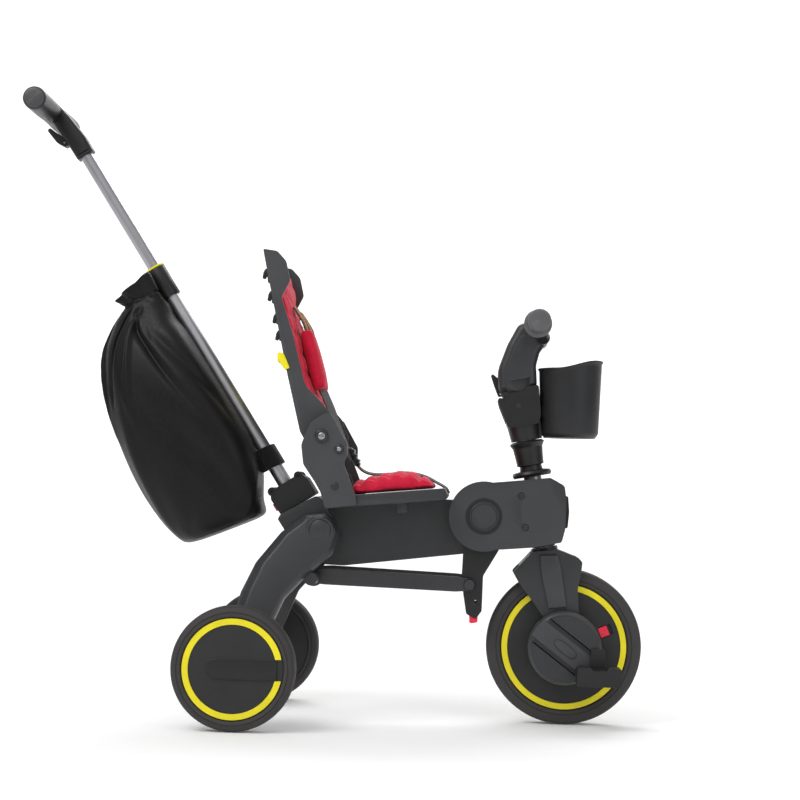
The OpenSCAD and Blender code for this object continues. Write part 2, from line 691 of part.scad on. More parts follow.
// Side plates that carry the backrest pivot
module seat_brackets() {
    color(grey) both() difference() {
        slab(bracket_line, bracket_in, bracket_in + bracket_t);
        rod(back_pivot, 0, 300, back_bolt_r + run_gap);
        rod(stop_at, 0, 300, 4);
        rod(pan_screw, 0, 300, 3);
    }
}
module backrest_bolts() {
    outer = bracket_in + bracket_t;
    color(steel) both() {
        rod(back_pivot, bracket_in - 26, outer, back_bolt_r);
        button_rod(back_pivot, outer, outer + 4, 10, 2);
        rod(stop_at, bracket_in - 6, outer, 4);
        button_rod(stop_at, outer, outer + 3, 7, 2);
        rod(pan_screw, bracket_in, outer, 3);
        button_rod(pan_screw, outer, outer + 2, 5.5, 1.5);
    }
}

// ---- backrest ----
back_half = back_w / 2;
shell_line = [[-110, 722, 2], [-103, 689, 20], [-67, 528, 60], [-46, 444, 10], [-32, 420, 10], [-8, 420, 6],
    [10, 445, 6], [2, 470, 8], [-18, 493, 20], [-40, 514, 30], [-61, 593, 60], [-80, 648, 12],
    [-67, 674, 12], [-74, 704, 16], [-88, 719, 10]];
hook_heights = [680, 648, 616, 590];
function back_line_x(z) = -67 - (z - 528) * 36 / 161;
// Tray-shaped backrest shell with side walls, pivot lugs and hooks for the fabric
module backrest_shell() {
    color(grey) difference() {
        union() {
            slab(shell_line, -back_half, back_half);
            both() rod(back_pivot, back_half - 22, bracket_in - gap, 24);
            for (z = hook_heights) both() slab([[back_line_x(z) + 1, z - 7, 0], [back_line_x(z) - 5, z - 5, 1],
                [back_line_x(z) - 6, z + 5, 1], [back_line_x(z) + 1, z + 4, 0]], 66, 76);
        }
        slab([[-106, 800, 0], [-103 + back_wall, 689, 20], [-67 + back_wall, 528, 60],
            [-46 + back_wall, 444, 0], [-46 + back_wall, 380, 0], [100, 380, 0], [100, 800, 0]],
            -back_half + back_wall, back_half - back_wall);
        slab([[-100, 452, 0], [-100, 380, 0], [60, 380, 0], [60, 452, 0]], -back_half + 22, back_half - 22);
        rod(back_pivot, -300, 300, back_bolt_r + run_gap);
    }
}
module backrest_pad() {
    back = back_wall + gap;
    color(red) slab([[-103 + back, 702, 4], [-84, 711, 6], [-64, 694, 12], [-57, 650, 30],
        [-47, 593, 40], [-27, 515, 30], [-6, 480, 8], [-16, 470, 6], [-52 + back, 470, 2],
        [back_line_x(528) + back, 528, 60], [back_line_x(689) + back, 689, 10]],
        -back_half + back_wall + 2, back_half - back_wall - 2);
}
// Lever behind the backrest that frees its recline
module recline_button() {
    color(yellow) {
        slab([[-84, 563, 2], [back_line_x(565) - gap, 565, 0], [back_line_x(539) - gap, 539, 0],
            [-77, 538, 2]], -back_half - 3, back_half + 3);
        both() slab([[back_line_x(565) - 1, 565, 0], [-63, 561, 3], [-59, 541, 3],
            [back_line_x(539) - 1, 539, 0]], back_half + gap, back_half + 3);
    }
}
strap_y = [30, 62];
// Harness shoulder straps with their padded sleeves
module shoulder_straps() {
    color(red) both() slab([[-52.4, 634, 0], [-50, 634.5, 0], [-38, 606, 2], [-30, 604, 6], [-7, 517, 6],
        [-9, 508, 2], [3, 470, 0], [22, 430, 0], [20, 429, 0], [-1, 469, 0], [-15, 507, 2], [-23.2, 509, 3],
        [-45, 598, 3]], strap_y[0], strap_y[1]);
}
crotch_path = [[50, 66], [62, 47], [91, 45], [123, 46], [155, 39], [182.8, 17.8], [186.2, 6]];
// Crotch strap of the harness with its buckle, over the cushion to the front lip
module crotch_strap() {
    color(dark) at_pan() {
        slab([for (i = [0 : 13]) i < 7 ? concat(crotch_path[i], 0)
            : concat(crotch_path[13 - i] + [0.6, 1.5], 0)], -10, 10);
        slab([[39, 64, 2], [50, 64, 2], [50, 94, 2], [39, 94, 2]], -18, 18);
    }
}

// ---- push handle ----
socket_top = -2;
socket_low = -42;
module handle_socket() {
    color(dark) at_tube() difference() {
        union() {
            slab([[-29, socket_low, 2], [36, socket_low, 2], [36, -14, 4], [30, socket_top, 4],
                [-24, socket_top, 4], [-30, -14, 4]], -30, 30);
            both() rod([26, -4], 16, 30, 7);
            both() rod([-22, -4], 16, 30, 7);
        }
        translate([0, 0, -38]) cylinder(h = 80, r = lower_tube_r);
        translate([-40, -10 - gap, -33 - gap]) cube([22, 20 + 2 * gap, 12 + 2 * gap]);
        both() for (u = [26, -22]) rod([u, -4], 26, 31, 3);
    }
}
// Red button that lets the handle tube out of its socket
module handle_release_button() {
    color(red) at_tube() translate([-33.5, -10, -33]) cube([11, 20, 12]);
}
lower_top = 352;
module lower_handle_tube() {
    color(alu) at_tube() difference() {
        translate([0, 0, -37]) cylinder(h = lower_top + 37, r = lower_tube_r);
        translate([0, 0, -38]) cylinder(h = lower_top + 40, r = upper_tube_r + run_gap);
    }
}
// Clamp collar where the tube telescopes, with its bright ring
module tube_collar() {
    color(dark) at_tube() difference() {
        rotate_extrude() polygon([[5, 346], [lower_tube_r + 2, 346], [lower_tube_r + 4, 349],
            [lower_tube_r + 4, 388], [lower_tube_r + 6, 391], [lower_tube_r + 6, 399], [lower_tube_r + 4, 402],
            [5, 402]]);
        translate([0, 0, 340]) cylinder(h = lower_top - 340, r = lower_tube_r);
        translate([0, 0, 340]) cylinder(h = 80, r = upper_tube_r + run_gap);
    }
}
module upper_handle_tube() {
    color(alu) at_tube() difference() {
        translate([0, 0, 250]) cylinder(h = 372, r = upper_tube_r);
        translate([0, 0, 249]) cylinder(h = 374, r = upper_tube_r - 1.5);
    }
}
bar_u = -11.8;
bar_t = 700;
neck_sleeve = 22; // half of the slimmer middle of the push bar
// T-shaped push bar with its neck
module push_bar() {
    color(dark) at_tube() difference() {
        union() {
            rod([bar_u, bar_t], -neck_sleeve, neck_sleeve, bar_r - 1);
            both() rod([bar_u, bar_t], neck_sleeve, bar_l / 2 - 6, bar_r);
            both() button_rod([bar_u, bar_t], bar_l / 2 - 6, bar_l / 2, bar_r, 4);
            slab([[-14, 612, 2], [14, 612, 2], [14, 640, 10], [10, 680, 10], [2, 712, 4], [-24, 712, 4],
                [-22, 660, 10], [-14, 640, 4]], -14, 14);
        }
        translate([0, 0, 600]) cylinder(h = 22, r = upper_tube_r);
        trigger_space();
    }
}
trigger_pivot = [-19, 649];
trigger_pin_r = 2;
module trigger_space() {
    slab([[-40, 638, 0], [-10, 638, 0], [-10, 655, 4], [-14, 688, 4], [-40, 688, 0]], -8 - gap, 8 + gap);
}
// Squeeze trigger under the neck that frees the telescope
module push_bar_trigger() {
    color(dark) at_tube() difference() {
        slab([[-13, 642, 4], [-13, 653, 4], [-21, 668, 6], [-26, 681, 3], [-32, 680, 3], [-29, 655, 10],
            [-21, 641, 4]], -8, 8);
        rod(trigger_pivot, -20, 20, trigger_pin_r);
    }
}

// ---- bag ----
bag_line = [[-21, 392], [-34, 386], [-66, 376], [-110, 340], [-162, 265], [-186, 180], [-196, 90], [-190, 20],
    [-176, -2], [-130, -16], [-70, -26], [-50, -18], [-40, 12], [-lower_tube_r - 3, 50],
    [-lower_tube_r - 3, 330], [-lower_tube_r - 6.5, 345], [-lower_tube_r - 7, 385]];
bag_half = 90;
// Soft drawstring bag that hangs behind the lower handle tube
module storage_bag() {
    color("black") at_tube() hull() {
        translate([0, 34, 0]) rotate([90, 0, 0]) linear_extrude(68) polygon(bag_line);
        translate([0, bag_half, 0]) rotate([90, 0, 0]) linear_extrude(2 * bag_half)
            polygon([[-70, 300], [-150, 230], [-175, 90], [-170, 20], [-130, 8], [-66, 8], [-40, 60],
                [-34, 280]]);
    }
}

main_beam();
rear_mount();
hub_pin();
hub_caps();
head_housing_right();
head_housing_left();
head_screws();
steering_bushes();
steering_lock_button();
steering_column();
fork();
wheel_bushes();
stem_sleeve();
yoke_socket();
handlebar_yoke();
yoke_pin();
handlebar_latch();
handlebar_tube();
grips();
cup();
front_tyre();
front_wheel_disc();
front_wheel_rings();
clutch_slider();
crank_axle();
crank_right();
crank_left();
pedal_right();
pedal_left();
fold_arms();
fold_release_tab();
side_struts();
strut_rivets();
rear_leg_right();
rear_leg_left();
rear_pivot_shaft();
rear_stub_axles();
rear_wheel_right();
rear_wheel_left();
rear_tyre_right();
rear_tyre_left();
rear_ring_right();
rear_ring_left();
seat_pan();
seat_cushion();
seat_brackets();
backrest_shell();
backrest_pad();
backrest_bolts();
recline_button();
shoulder_straps();
crotch_strap();
handle_socket();
handle_release_button();
lower_handle_tube();
tube_collar();
storage_bag();
upper_handle_tube();
push_bar();
push_bar_trigger();
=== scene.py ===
import json
import bpy
import bmesh
import numpy as np
from math import radians, pi
from mathutils import Matrix, Vector

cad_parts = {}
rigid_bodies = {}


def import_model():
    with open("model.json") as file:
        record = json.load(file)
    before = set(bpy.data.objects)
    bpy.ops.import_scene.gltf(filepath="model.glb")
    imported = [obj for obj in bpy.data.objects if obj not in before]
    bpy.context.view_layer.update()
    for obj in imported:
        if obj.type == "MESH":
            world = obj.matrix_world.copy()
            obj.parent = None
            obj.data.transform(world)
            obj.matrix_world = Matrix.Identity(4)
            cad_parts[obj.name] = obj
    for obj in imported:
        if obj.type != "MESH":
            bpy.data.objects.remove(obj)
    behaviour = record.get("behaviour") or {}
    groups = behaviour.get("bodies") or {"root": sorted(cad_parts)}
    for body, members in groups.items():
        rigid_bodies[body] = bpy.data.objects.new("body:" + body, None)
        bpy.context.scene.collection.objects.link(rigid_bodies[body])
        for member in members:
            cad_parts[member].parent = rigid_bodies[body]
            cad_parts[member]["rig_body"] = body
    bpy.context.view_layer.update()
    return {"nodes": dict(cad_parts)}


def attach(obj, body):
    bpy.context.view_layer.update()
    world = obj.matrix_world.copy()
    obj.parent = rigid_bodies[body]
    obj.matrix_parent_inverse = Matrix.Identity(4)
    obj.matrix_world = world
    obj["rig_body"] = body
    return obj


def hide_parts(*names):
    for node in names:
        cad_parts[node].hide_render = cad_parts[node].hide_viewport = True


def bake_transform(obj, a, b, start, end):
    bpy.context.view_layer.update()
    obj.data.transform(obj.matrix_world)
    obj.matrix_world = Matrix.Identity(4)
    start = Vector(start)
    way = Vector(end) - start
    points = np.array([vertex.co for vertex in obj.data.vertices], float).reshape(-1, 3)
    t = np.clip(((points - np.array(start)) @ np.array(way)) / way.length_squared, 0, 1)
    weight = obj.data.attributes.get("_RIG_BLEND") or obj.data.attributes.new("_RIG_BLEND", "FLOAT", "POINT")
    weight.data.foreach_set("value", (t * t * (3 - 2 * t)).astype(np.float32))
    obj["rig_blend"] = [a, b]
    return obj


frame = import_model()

mm = 0.001
print("frame loaded")


# Finishes


def addNode(tree, kind, inputs=None, **settings):  # one node, with its sockets set or linked
    node = tree.nodes.new("ShaderNode" + kind)
    for key, value in settings.items():
        setattr(node, key, value)
    for key, value in (inputs or {}).items():
        if isinstance(value, bpy.types.NodeSocket):
            tree.links.new(value, node.inputs[key])
        else:
            node.inputs[key].default_value = value
    return node


def newFinish(name, roughness, metal=0.0, shine=0.5):  # a material with its own shader values set
    finish = bpy.data.materials.new(name)
    finish.use_nodes = True
    shader = finish.node_tree.nodes["Principled BSDF"]
    shader.inputs["Roughness"].default_value = roughness
    shader.inputs["Metallic"].default_value = metal
    shader.inputs["Specular IOR Level"].default_value = shine
    return finish, finish.node_tree, shader


def blendColours(tree, share, first, second):  # first at 0, second at 1
    mix = addNode(tree, "Mix", {0: share, 6: first, 7: second}, data_type="RGBA")
    return mix.outputs[2]


def shade(colour, factor):  # the colour times a factor, never past white
    return tuple(min(1.0, c * factor) for c in colour) + (1.0,)


def spread(tree, value, low, high, fromLow=0.3, fromHigh=0.7):  # stretches a pattern to a range
    stretch = addNode(tree, "MapRange", {"Value": value, "From Min": fromLow, "From Max": fromHigh,
                                         "To Min": low, "To Max": high})
    return stretch.outputs["Result"]


def addBumps(tree, shader, layers):  # layers of (height, strength, distance), each on the last one
    normal = None
    for height, strength, distance in layers:
        bump = addNode(tree, "Bump", {"Height": height, "Strength": strength, "Distance": distance})
        if normal is not None:
            tree.links.new(normal, bump.inputs["Normal"])
        normal = bump.outputs["Normal"]
    tree.links.new(normal, shader.inputs["Normal"])


# Moulded plastic: spark-eroded grain, faint flow clouds, burnished edges and light scuffs
def mouldedPlastic(name, look):
    finish, tree, shader = newFinish(name, look["roughness"], 0.0, 0.4)
    place = addNode(tree, "TexCoord").outputs["Object"]
    cloud = addNode(tree, "TexNoise", {"Vector": place, "Scale": 22.0, "Detail": 4.0}).outputs["Fac"]
    grain = addNode(tree, "TexNoise", {"Vector": place, "Scale": look["grain"], "Detail": 2.0}).outputs["Fac"]
    pits = addNode(tree, "TexVoronoi", {"Vector": place, "Scale": look["grain"] * 0.6}).outputs["Distance"]
    stretch = addNode(tree, "Mapping", {"Vector": place, "Scale": (60.0, 260.0, 900.0)}).outputs["Vector"]
    scuff = addNode(tree, "TexNoise", {"Vector": stretch, "Scale": 1.0, "Detail": 3.0}).outputs["Fac"]
    body = blendColours(tree, spread(tree, cloud, 0.0, 1.0), shade(look["colour"], 0.9),
                        shade(look["colour"], 1.1))
    speck = blendColours(tree, spread(tree, grain, 0.0, 0.22, 0.5, 0.75), body, shade(look["colour"], 1.5))
    edge = addNode(tree, "NewGeometry").outputs["Pointiness"]
    worn = spread(tree, edge, 0.0, look["wear"], 0.51, 0.6)
    tree.links.new(blendColours(tree, worn, speck, shade(look["colour"], 2.2)), shader.inputs["Base Color"])
    tree.links.new(spread(tree, scuff, look["roughness"] - 0.06, look["roughness"] + 0.07, 0.35, 0.65),
                   shader.inputs["Roughness"])
    addBumps(tree, shader, [(grain, 0.35, 0.0002), (pits, 0.2, 0.0001)])
    return finish


charcoalPlastic = mouldedPlastic("charcoalPlastic", {"colour": (0.031, 0.032, 0.034), "roughness": 0.4,
                                                     "grain": 1400.0, "wear": 0.35})
slatePlastic = mouldedPlastic("slatePlastic", {"colour": (0.047, 0.048, 0.051), "roughness": 0.42,
                                               "grain": 1300.0, "wear": 0.35})
blackPlastic = mouldedPlastic("blackPlastic", {"colour": (0.011, 0.0112, 0.012), "roughness": 0.4,
                                               "grain": 1100.0, "wear": 0.3})
wheelPlastic = mouldedPlastic("wheelPlastic", {"colour": (0.019, 0.0195, 0.02), "roughness": 0.55,
                                               "grain": 900.0, "wear": 0.2})
cupPlastic = mouldedPlastic("cupPlastic", {"colour": (0.015, 0.0157, 0.017), "roughness": 0.46,
                                           "grain": 1200.0, "wear": 0.3})
lemonPlastic = mouldedPlastic("lemonPlastic", {"colour": (0.84, 0.72, 0.01), "roughness": 0.35,
                                               "grain": 1600.0, "wear": 0.1})
signalRedPlastic = mouldedPlastic("signalRedPlastic", {"colour": (0.78, 0.02, 0.05), "roughness": 0.32,
                                                       "grain": 1600.0, "wear": 0.1})


# Drawn and anodised tube: fine lines along it, a few handling scratches
def anodisedMetal(name, look):
    finish, tree, shader = newFinish(name, look["roughness"], 1.0)
    place = addNode(tree, "TexCoord").outputs["Object"]
    turned = addNode(tree, "Mapping", {"Vector": place, "Rotation": (0.0, radians(look["lean"]), 0.0)})
    line = addNode(tree, "Mapping", {"Vector": turned.outputs["Vector"], "Scale": (2200.0, 2200.0, 12.0)})
    drawn = addNode(tree, "TexNoise", {"Vector": line.outputs["Vector"], "Scale": 1.0, "Detail": 3.0})
    haze = addNode(tree, "TexNoise", {"Vector": place, "Scale": 30.0, "Detail": 5.0}).outputs["Fac"]
    nick = addNode(tree, "TexVoronoi", {"Vector": place, "Scale": 160.0}, feature="DISTANCE_TO_EDGE")
    tone = blendColours(tree, spread(tree, haze, 0.0, 1.0), shade(look["colour"], 0.94),
                        shade(look["colour"], 1.04))
    lined = blendColours(tree, spread(tree, drawn.outputs["Fac"], 0.0, 0.35), tone,
                         shade(look["colour"], 0.86))
    tree.links.new(lined, shader.inputs["Base Color"])
    tree.links.new(spread(tree, drawn.outputs["Fac"], look["roughness"] - 0.05, look["roughness"] + 0.1),
                   shader.inputs["Roughness"])
    addBumps(tree, shader, [(drawn.outputs["Fac"], 0.12, 0.0001), (nick.outputs["Distance"], 0.05, 0.0001)])
    return finish


tubeAlloy = anodisedMetal("tubeAlloy", {"colour": (0.52, 0.52, 0.54), "roughness": 0.4, "lean": 32.9})
innerAlloy = anodisedMetal("innerAlloy", {"colour": (0.45, 0.45, 0.47), "roughness": 0.32, "lean": 32.9})
pinSteel = anodisedMetal("pinSteel", {"colour": (0.34, 0.34, 0.35), "roughness": 0.34, "lean": 90.0})
blackSteel = anodisedMetal("blackSteel", {"colour": (0.075, 0.075, 0.078), "roughness": 0.36, "lean": 90.0})


# Rubber: fine pores, mould bloom, and dust where a wheel's side meets its tread
def mouldedRubber(name, look):
    finish, tree, shader = newFinish(name, look["roughness"])
    place = addNode(tree, "TexCoord").outputs["Object"]
    pore = addNode(tree, "TexNoise", {"Vector": place, "Scale": 1500.0, "Detail": 2.0}).outputs["Fac"]
    bloom = addNode(tree, "TexNoise", {"Vector": place, "Scale": 45.0, "Detail": 6.0}).outputs["Fac"]
    fleck = addNode(tree, "TexNoise", {"Vector": place, "Scale": 380.0, "Detail": 4.0}).outputs["Fac"]
    body = blendColours(tree, spread(tree, bloom, 0.0, 1.0), shade(look["colour"], 0.85),
                        shade(look["colour"], 1.25))
    edge = addNode(tree, "NewGeometry").outputs["Pointiness"]
    dusty = blendColours(tree, spread(tree, edge, 0.0, 0.5, 0.5, 0.56), body, shade(look["dust"], 1.0))
    tree.links.new(blendColours(tree, spread(tree, fleck, 0.0, 0.3, 0.58, 0.8), dusty,
                                shade(look["dust"], 1.0)), shader.inputs["Base Color"])
    tree.links.new(spread(tree, bloom, look["roughness"] - 0.08, look["roughness"] + 0.08),
                   shader.inputs["Roughness"])
    addBumps(tree, shader, [(pore, 0.3, 0.0002), (fleck, 0.15, 0.0003)])
    return finish


tyreRubber = mouldedRubber("tyreRubber", {"colour": (0.024, 0.022, 0.022), "dust": (0.06, 0.056, 0.054),
                                           "roughness": 0.72})
gripRubber = mouldedRubber("gripRubber", {"colour": (0.075, 0.076, 0.079), "dust": (0.13, 0.13, 0.135),
                                           "roughness": 0.55})


# Woven cloth: two crossing sets of threads, read from the place itself turned to lie along the cloth
def wovenCloth(name, look):
    finish, tree, shader = newFinish(name, look["roughness"], 0.0, 0.2)
    shader.inputs["Sheen Weight"].default_value = look["sheen"]
    shader.inputs["Sheen Roughness"].default_value = 0.45
    place = addNode(tree, "TexCoord").outputs["UV" if look["useUv"] else "Object"]
    lay = addNode(tree, "Mapping", {"Vector": place, "Rotation": (0.0, radians(look["lean"]), 0.0)})
    along = lay.outputs["Vector"]
    pitch = 1.0 / look["thread"]
    warpDirection, weftDirection = ("X", "Y") if look["useUv"] else ("Y", "Z")
    warp = addNode(tree, "TexWave", {"Vector": along, "Scale": pitch / 3.183, "Distortion": 0.6,
                                     "Detail": 1.0, "Detail Scale": 2.0}, bands_direction=warpDirection)
    weft = addNode(tree, "TexWave", {"Vector": along, "Scale": pitch / 3.183, "Distortion": 0.6,
                                     "Detail": 1.0, "Detail Scale": 2.0}, bands_direction=weftDirection)
    crossed = addNode(tree, "Math", {0: warp.outputs["Fac"], 1: weft.outputs["Fac"]}, operation="MULTIPLY")
    slub = addNode(tree, "TexNoise", {"Vector": along, "Scale": 260.0, "Detail": 5.0}).outputs["Fac"]
    crease = addNode(tree, "TexNoise", {"Vector": place, "Scale": look["creases"], "Detail": 4.0,
                                        "Roughness": 0.45}).outputs["Fac"]
    body = blendColours(tree, spread(tree, slub, 0.0, 1.0), shade(look["colour"], 0.84),
                        shade(look["colour"], 1.12))
    tree.links.new(blendColours(tree, spread(tree, crossed.outputs[0], 0.0, look["contrast"], 0.0, 0.8), body,
                                shade(look["highlight"], 1.0)), shader.inputs["Base Color"])
    tree.links.new(spread(tree, slub, look["roughness"] - 0.06, look["roughness"] + 0.08),
                   shader.inputs["Roughness"])
    addBumps(tree, shader, [(crease, look["creaseStrength"], 0.004),
                            (crossed.outputs[0], look["relief"], 0.0003), (slub, 0.25, 0.0004)])
    return finish


crimsonCloth = wovenCloth("crimsonCloth", {"colour": (0.6, 0.01, 0.042), "highlight": (0.78, 0.03, 0.08),
                                           "roughness": 0.78, "sheen": 0.1, "thread": 0.0011, "lean": 12.0,
                                           "creases": 26.0, "creaseStrength": 0.12, "contrast": 0.3,
                                           "relief": 0.35, "useUv": False})
bagNylon = wovenCloth("bagNylon", {"colour": (0.006, 0.006, 0.0065), "highlight": (0.014, 0.014, 0.0145),
                                   "roughness": 0.44, "sheen": 0.02, "thread": 0.0014, "lean": 32.9,
                                   "creases": 13.0, "creaseStrength": 0.5, "contrast": 0.25,
                                   "relief": 0.12, "useUv": False})
blackWebbing = wovenCloth("blackWebbing", {"colour": (0.014, 0.014, 0.015), "highlight": (0.045, 0.045, 0.05),
                                           "roughness": 0.62, "sheen": 0.15, "thread": 0.0014, "lean": 0.0,
                                           "creases": 60.0, "creaseStrength": 0.1, "contrast": 0.6,
                                           "relief": 0.5, "useUv": True})
hookTape = wovenCloth("hookTape", {"colour": (0.007, 0.007, 0.008), "highlight": (0.02, 0.02, 0.022),
                                   "roughness": 0.9, "sheen": 0.3, "thread": 0.002, "lean": 0.0,
                                   "creases": 80.0, "creaseStrength": 0.3, "contrast": 0.5,
                                   "relief": 0.5, "useUv": True})
amberThread = wovenCloth("amberThread", {"colour": (0.85, 0.36, 0.04), "highlight": (0.95, 0.65, 0.15),
                                         "roughness": 0.7, "sheen": 0.2, "thread": 0.0008, "lean": 0.0,
                                         "creases": 60.0, "creaseStrength": 0.1, "contrast": 0.6,
                                         "relief": 0.5, "useUv": True})
print("finishes made")


# Shapes


def unit(v):  # each arrow divided by its own length
    return v / np.maximum(np.linalg.norm(v, axis=-1, keepdims=True), 1e-12)


def finishMesh(name, mesh, finish, body, sharp=38.0):
    # Welds poles, points the faces outwards, smooths all but sharp edges, and hangs the piece on its body
    work = bmesh.new()
    work.from_mesh(mesh)
    bmesh.ops.remove_doubles(work, verts=work.verts, dist=2e-6)
    bmesh.ops.recalc_face_normals(work, faces=work.faces)
    work.to_mesh(mesh)
    work.free()
    mesh.shade_smooth()
    mesh.set_sharp_from_angle(angle=radians(sharp))
    mesh.materials.clear()
    mesh.materials.append(finish)
    piece = bpy.data.objects.new(name, mesh)
    bpy.context.scene.collection.objects.link(piece)
    if body:
        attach(piece, body)
    return piece


def gridSurface(name, grid, finish, body, wrapU=False, wrapV=False, capU=False, sharp=38.0):
    # Rows and columns of points joined by four-sided faces; UV is the length along each, in metres
    rows, cols = grid.shape[:2]
    i = np.arange(rows if wrapU else rows - 1)[:, None]
    j = np.arange(cols if wrapV else cols - 1)[None, :]
    nextI, nextJ = (i + 1) % rows, (j + 1) % cols
    quads = np.stack([i * cols + j, i * cols + nextJ, nextI * cols + nextJ, nextI * cols + j], -1)
    faces = quads.reshape(-1, 4).tolist()
    if capU:
        faces += [list(range(cols))[::-1], list(range((rows - 1) * cols, rows * cols))]
    mesh = bpy.data.meshes.new(name)
    mesh.from_pydata((grid.reshape(-1, 3) * mm).tolist(), [], faces)
    stepU = np.linalg.norm(np.roll(grid, -1, 0) - grid, axis=2).mean(1)
    stepV = np.linalg.norm(np.roll(grid, -1, 1) - grid, axis=2).mean(0)
    alongU = np.concatenate([[0.0], np.cumsum(stepU)]) * mm
    alongV = np.concatenate([[0.0], np.cumsum(stepV)]) * mm
    flatI, flatJ = np.broadcast_to(i, quads.shape[:2]).ravel(), np.broadcast_to(j, quads.shape[:2]).ravel()
    corners = np.stack([np.stack([alongV[flatJ + b], alongU[flatI + a]], -1)
                        for a, b in ((0, 0), (0, 1), (1, 1), (1, 0))], 1).reshape(-1, 2)
    layer = mesh.uv_layers.new(name="UVMap")
    uv = np.zeros((len(mesh.loops), 2))
    uv[:len(corners)] = corners
    layer.uv.foreach_set("vector", uv.ravel().astype(np.float32))
    return finishMesh(name, mesh, finish, body, sharp)


def evenly(line, count, closed=True):  # points spaced evenly along a line
    whole = np.vstack([line, line[:1]]) if closed else line
    length = np.concatenate([[0.0], np.cumsum(np.linalg.norm(np.diff(whole, axis=0), axis=1))])
    at = np.linspace(0.0, length[-1], count + 1)[:-1] if closed else np.linspace(0.0, length[-1], count)
    return np.stack([np.interp(at, length, whole[:, k]) for k in range(whole.shape[1])], 1)


def roundedOutline(corners, count=150):
    # Each corner [x, z, radius] gives way to an arc that touches both of its sides
    table = np.array(corners, float)
    spot, radius = table[:, :2], np.maximum(table[:, 2:], 0.01)
    back, ahead = unit(np.roll(spot, 1, 0) - spot), unit(np.roll(spot, -1, 0) - spot)
    half = np.arccos(np.clip((back * ahead).sum(1, keepdims=True), -0.9999, 0.9999)) / 2
    middle = spot + unit(back + ahead) * radius / np.sin(half)
    start, end = spot + back * radius / np.tan(half) - middle, spot + ahead * radius / np.tan(half) - middle
    first = np.arctan2(start[:, 1], start[:, 0])
    turn = (np.arctan2(end[:, 1], end[:, 0]) - first + pi) % (2 * pi) - pi
    angle = first[:, None] + turn[:, None] * np.linspace(0, 1, 9)
    arc = middle[:, None] + radius[:, None] * np.stack([np.cos(angle), np.sin(angle)], -1)
    return evenly(arc.reshape(-1, 2), count)


def drawIn(outline, amount, soft=0):
    # Moves a closed line inwards along its own normals, which can be averaged over some neighbours
    ahead = np.roll(outline, -1, 0) - np.roll(outline, 1, 0)
    area = (outline[:, 0] * np.roll(outline[:, 1], -1) - outline[:, 1] * np.roll(outline[:, 0], -1)).sum()
    inward = np.stack([-ahead[:, 1], ahead[:, 0]], 1) * np.sign(area)
    for _ in range(soft):
        inward = (np.roll(inward, 1, 0) + inward * 2 + np.roll(inward, -1, 0)) / 4
    return outline + unit(inward) * np.reshape(amount, (-1, 1))


def softEdges(low, high, edge, steps=5):  # (depth, amount) pairs for a plate with rounded rims
    t = np.linspace(0, pi / 2, steps)
    rim = edge * (1 - np.sin(t))
    rise = edge * (1 - np.cos(t))
    return list(zip(low + rise, rim)) + list(zip(high - rise[::-1], rim[::-1]))


def level(outline):  # a flat XZ line as points with Y at 0
    return np.stack([outline[:, 0], np.zeros(len(outline)), outline[:, 1]], 1)


def mouldedPlate(name, outline, depths, finish, body, soft=0, sharp=38.0):
    # One outline in XZ repeated at each depth along Y, drawn in by that depth's own amount
    rings = [level(drawIn(outline, amount, soft)) + np.array([0, y, 0]) for y, amount in depths]
    return gridSurface(name, np.stack(rings), finish, body, wrapV=True, capU=True, sharp=sharp)


def turnedPart(name, profile, centre, axis, finish, body, count=96, sharp=38.0):
    # A profile of (radius, place along the axis) carried round the axis
    axis = unit(np.array(axis, float))
    side = unit(np.cross(axis, [0.3, 0.1, 1.0] if abs(axis[2]) < 0.9 else [1.0, 0, 0]))
    angle = np.linspace(0, 2 * pi, count, endpoint=False)
    ring = np.cos(angle)[:, None] * side + np.sin(angle)[:, None] * np.cross(axis, side)
    profile = np.array(profile, float)
    grid = np.array(centre, float) + profile[:, 1, None, None] * axis + profile[:, 0, None, None] * ring
    return gridSurface(name, grid, finish, body, wrapV=True, sharp=sharp)


def carried(name, path, section, across, finish, body, scale=None, closed=True, cap=True,
            sharp=38.0):
    # A flat section of (across, out) carried along a path; scale gives the size of each step's section
    path, section = np.array(path, float), np.array(section, float)
    ahead = unit(np.gradient(path, axis=0))
    side = unit(np.broadcast_to(np.array(across, float), path.shape)
                - (ahead * across).sum(1, keepdims=True) * ahead)
    out = np.cross(side, ahead)
    sizes = np.ones((len(path), 2))
    if scale is not None:
        sizes = sizes * np.array(scale, float).reshape(len(path), -1)
    grid = (path[:, None] + side[:, None] * (section[None, :, :1] * sizes[:, None, :1])
            + out[:, None] * (section[None, :, 1:] * sizes[:, None, 1:]))
    return gridSurface(name, grid, finish, body, wrapV=closed, capU=cap, sharp=sharp)


def bend(a, b, c, d, t):  # a cubic from b to c; its slope is half of c - a at b and half of d - b at c
    return 0.5 * (2 * b + (c - a) * t + (2 * a - 5 * b + 4 * c - d) * t ** 2
                  + (3 * b - a - 3 * c + d) * t ** 3)


def smoothPath(points, count=60):  # a curve through the given points, spaced evenly
    p = np.array(points, float)
    p = np.vstack([2 * p[0] - p[1], p, 2 * p[-1] - p[-2]])
    t = np.linspace(0, 1, 16, endpoint=False)[:, None]
    a, b, c, d = p[:-3, None], p[1:-2, None], p[2:-1, None], p[3:, None]
    curve = bend(a, b, c, d, t)
    return evenly(np.vstack([curve.reshape(-1, p.shape[1]), p[-2:-1]]), count, closed=False)


